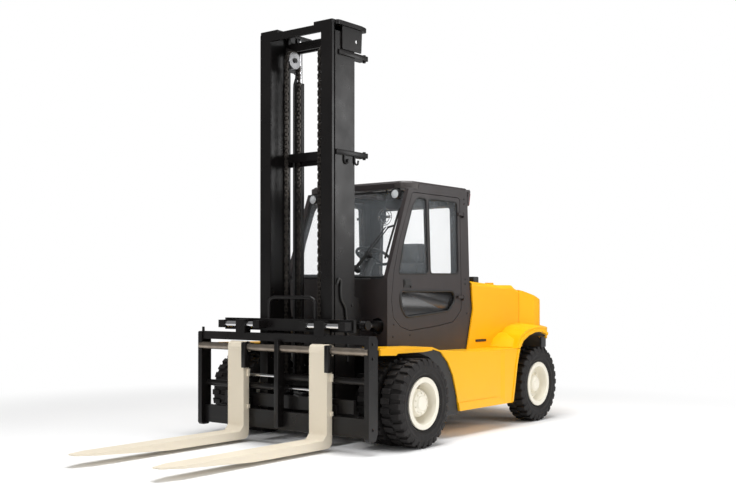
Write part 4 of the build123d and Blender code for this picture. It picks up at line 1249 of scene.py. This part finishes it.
# %% [markdown]
# ## Controls
# A smooth steering wheel with a spinner knob replaces the solid one. A lever console, two pedals, a dash
# hood, a small fan and two roof vents fill the cab.

# %% Steering wheel and controls
wheel_centre = Vector((0, 0.506, 1.760))
column_way = Vector((0, 0.4567, 0.8896))
across_way, along_way = axis_frame(column_way)


def on_wheel(turn, radius):
    """A point in the steering wheel's plane."""
    return wheel_centre + (across_way * math.cos(turn) + along_way * math.sin(turn)) * radius


rim_radius = 0.178
rim_steps = 56
hub_profile = [(-0.030, 0.028), (-0.004, 0.044), (0.010, 0.044), (0.016, 0.036)]
knob_profile = [(0.0, 0.008), (0.026, 0.008), (0.030, 0.020), (0.044, 0.023), (0.056, 0.014)]
wheel = bmesh.new()
rim_path = [on_wheel(math.tau * i / rim_steps, rim_radius) for i in range(rim_steps)]
add_tube(wheel, rim_path, 0.0145, 12, closed=True)
add_turned(wheel, hub_profile, wheel_centre, column_way, 32)
for i in range(3):
    turn = math.tau * (i / 3 + 0.25)
    add_tube(wheel, [on_wheel(turn, 0.030), on_wheel(turn, 0.172)], 0.011, 10)
add_turned(wheel, knob_profile, on_wheel(2.6, rim_radius), column_way, 20)
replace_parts(piece_of("steering_wheel_rim", wheel, "black_plastic", "steering_wheel"), "steering_wheel")
upward = (0, 0, 1)
lever_profile = [(-0.014, 0.008), (0.0, 0.014), (0.012, 0.013), (0.018, 0.006)]
vent_profile = [(0.0, 0.030), (0.008, 0.052), (0.060, 0.056), (0.070, 0.040)]
vent_x = 0.450
controls = bmesh.new()
add_box(controls, (-0.400, 0.620, 1.300), (-0.290, 1.000, 1.372), 0.014)
add_box(controls, (-0.375, 0.800, 0.830), (-0.315, 0.900, 1.305), 0.006)
for i in range(3):
    x = -0.380 + 0.035 * i
    add_tube(controls, [(x, 0.690, 1.365), (x, 0.668, 1.440)], 0.005, 8)
    add_turned(controls, lever_profile, (x, 0.667, 1.445), upward, 14)
add_box(controls, (-0.300, -0.025, 1.440), (0.300, 0.100, 1.525), 0.020)
for x in (-0.230, -0.110):
    add_box(controls, (x - 0.040, 0.130, 0.950), (x + 0.040, 0.148, 1.040), 0.005)
    add_tube(controls, [(x, 0.130, 1.030), (x, 0.030, 1.180)], 0.009, 8)
for y, z in ((0.868, 2.240), (1.090, 2.270)):
    add_turned(controls, vent_profile, (vent_x, y, z), upward, 24)
    add_tube(controls, [(vent_x, y, z + 0.065), (vent_x, y, 2.400)], 0.016, 10)
fan_spot = Vector((0.318, 0.275, 2.132))
fan_motor = [(-0.012, 0.018), (0.040, 0.026), (0.060, 0.018)]
fan_arm = [fan_spot + Vector((0, -0.040, 0)), fan_spot + Vector((0, 0.020, 0.150)), (0.318, 0.300, 2.400)]
cage_steps = 32
blade_count = 4


def on_fan(share, radius):
    """A point in the fan's plane, a share of a turn round it."""
    return fan_spot + Vector((math.cos(math.tau * share), 0, math.sin(math.tau * share))) * radius


add_turned(controls, fan_motor, fan_spot, (0, -1, 0), 20)
add_tube(controls, fan_arm, 0.007, 8)
piece_of("cab_controls", controls, "black_plastic", "chassis")
fan_blades = bmesh.new()
for ring_radius in (0.082, 0.055):
    cage = [on_fan(i / cage_steps, ring_radius) for i in range(cage_steps)]
    add_tube(fan_blades, cage, 0.004, 6, closed=True)
for i in range(blade_count):
    tip = on_fan(i / blade_count, 0.076)
    add_tube(fan_blades, [fan_spot.lerp(tip, 0.25), fan_spot.lerp(tip, 0.95)], 0.014, 6)
piece_of("fan_blades", fan_blades, "chrome", "chassis")
print("control pieces", 3)
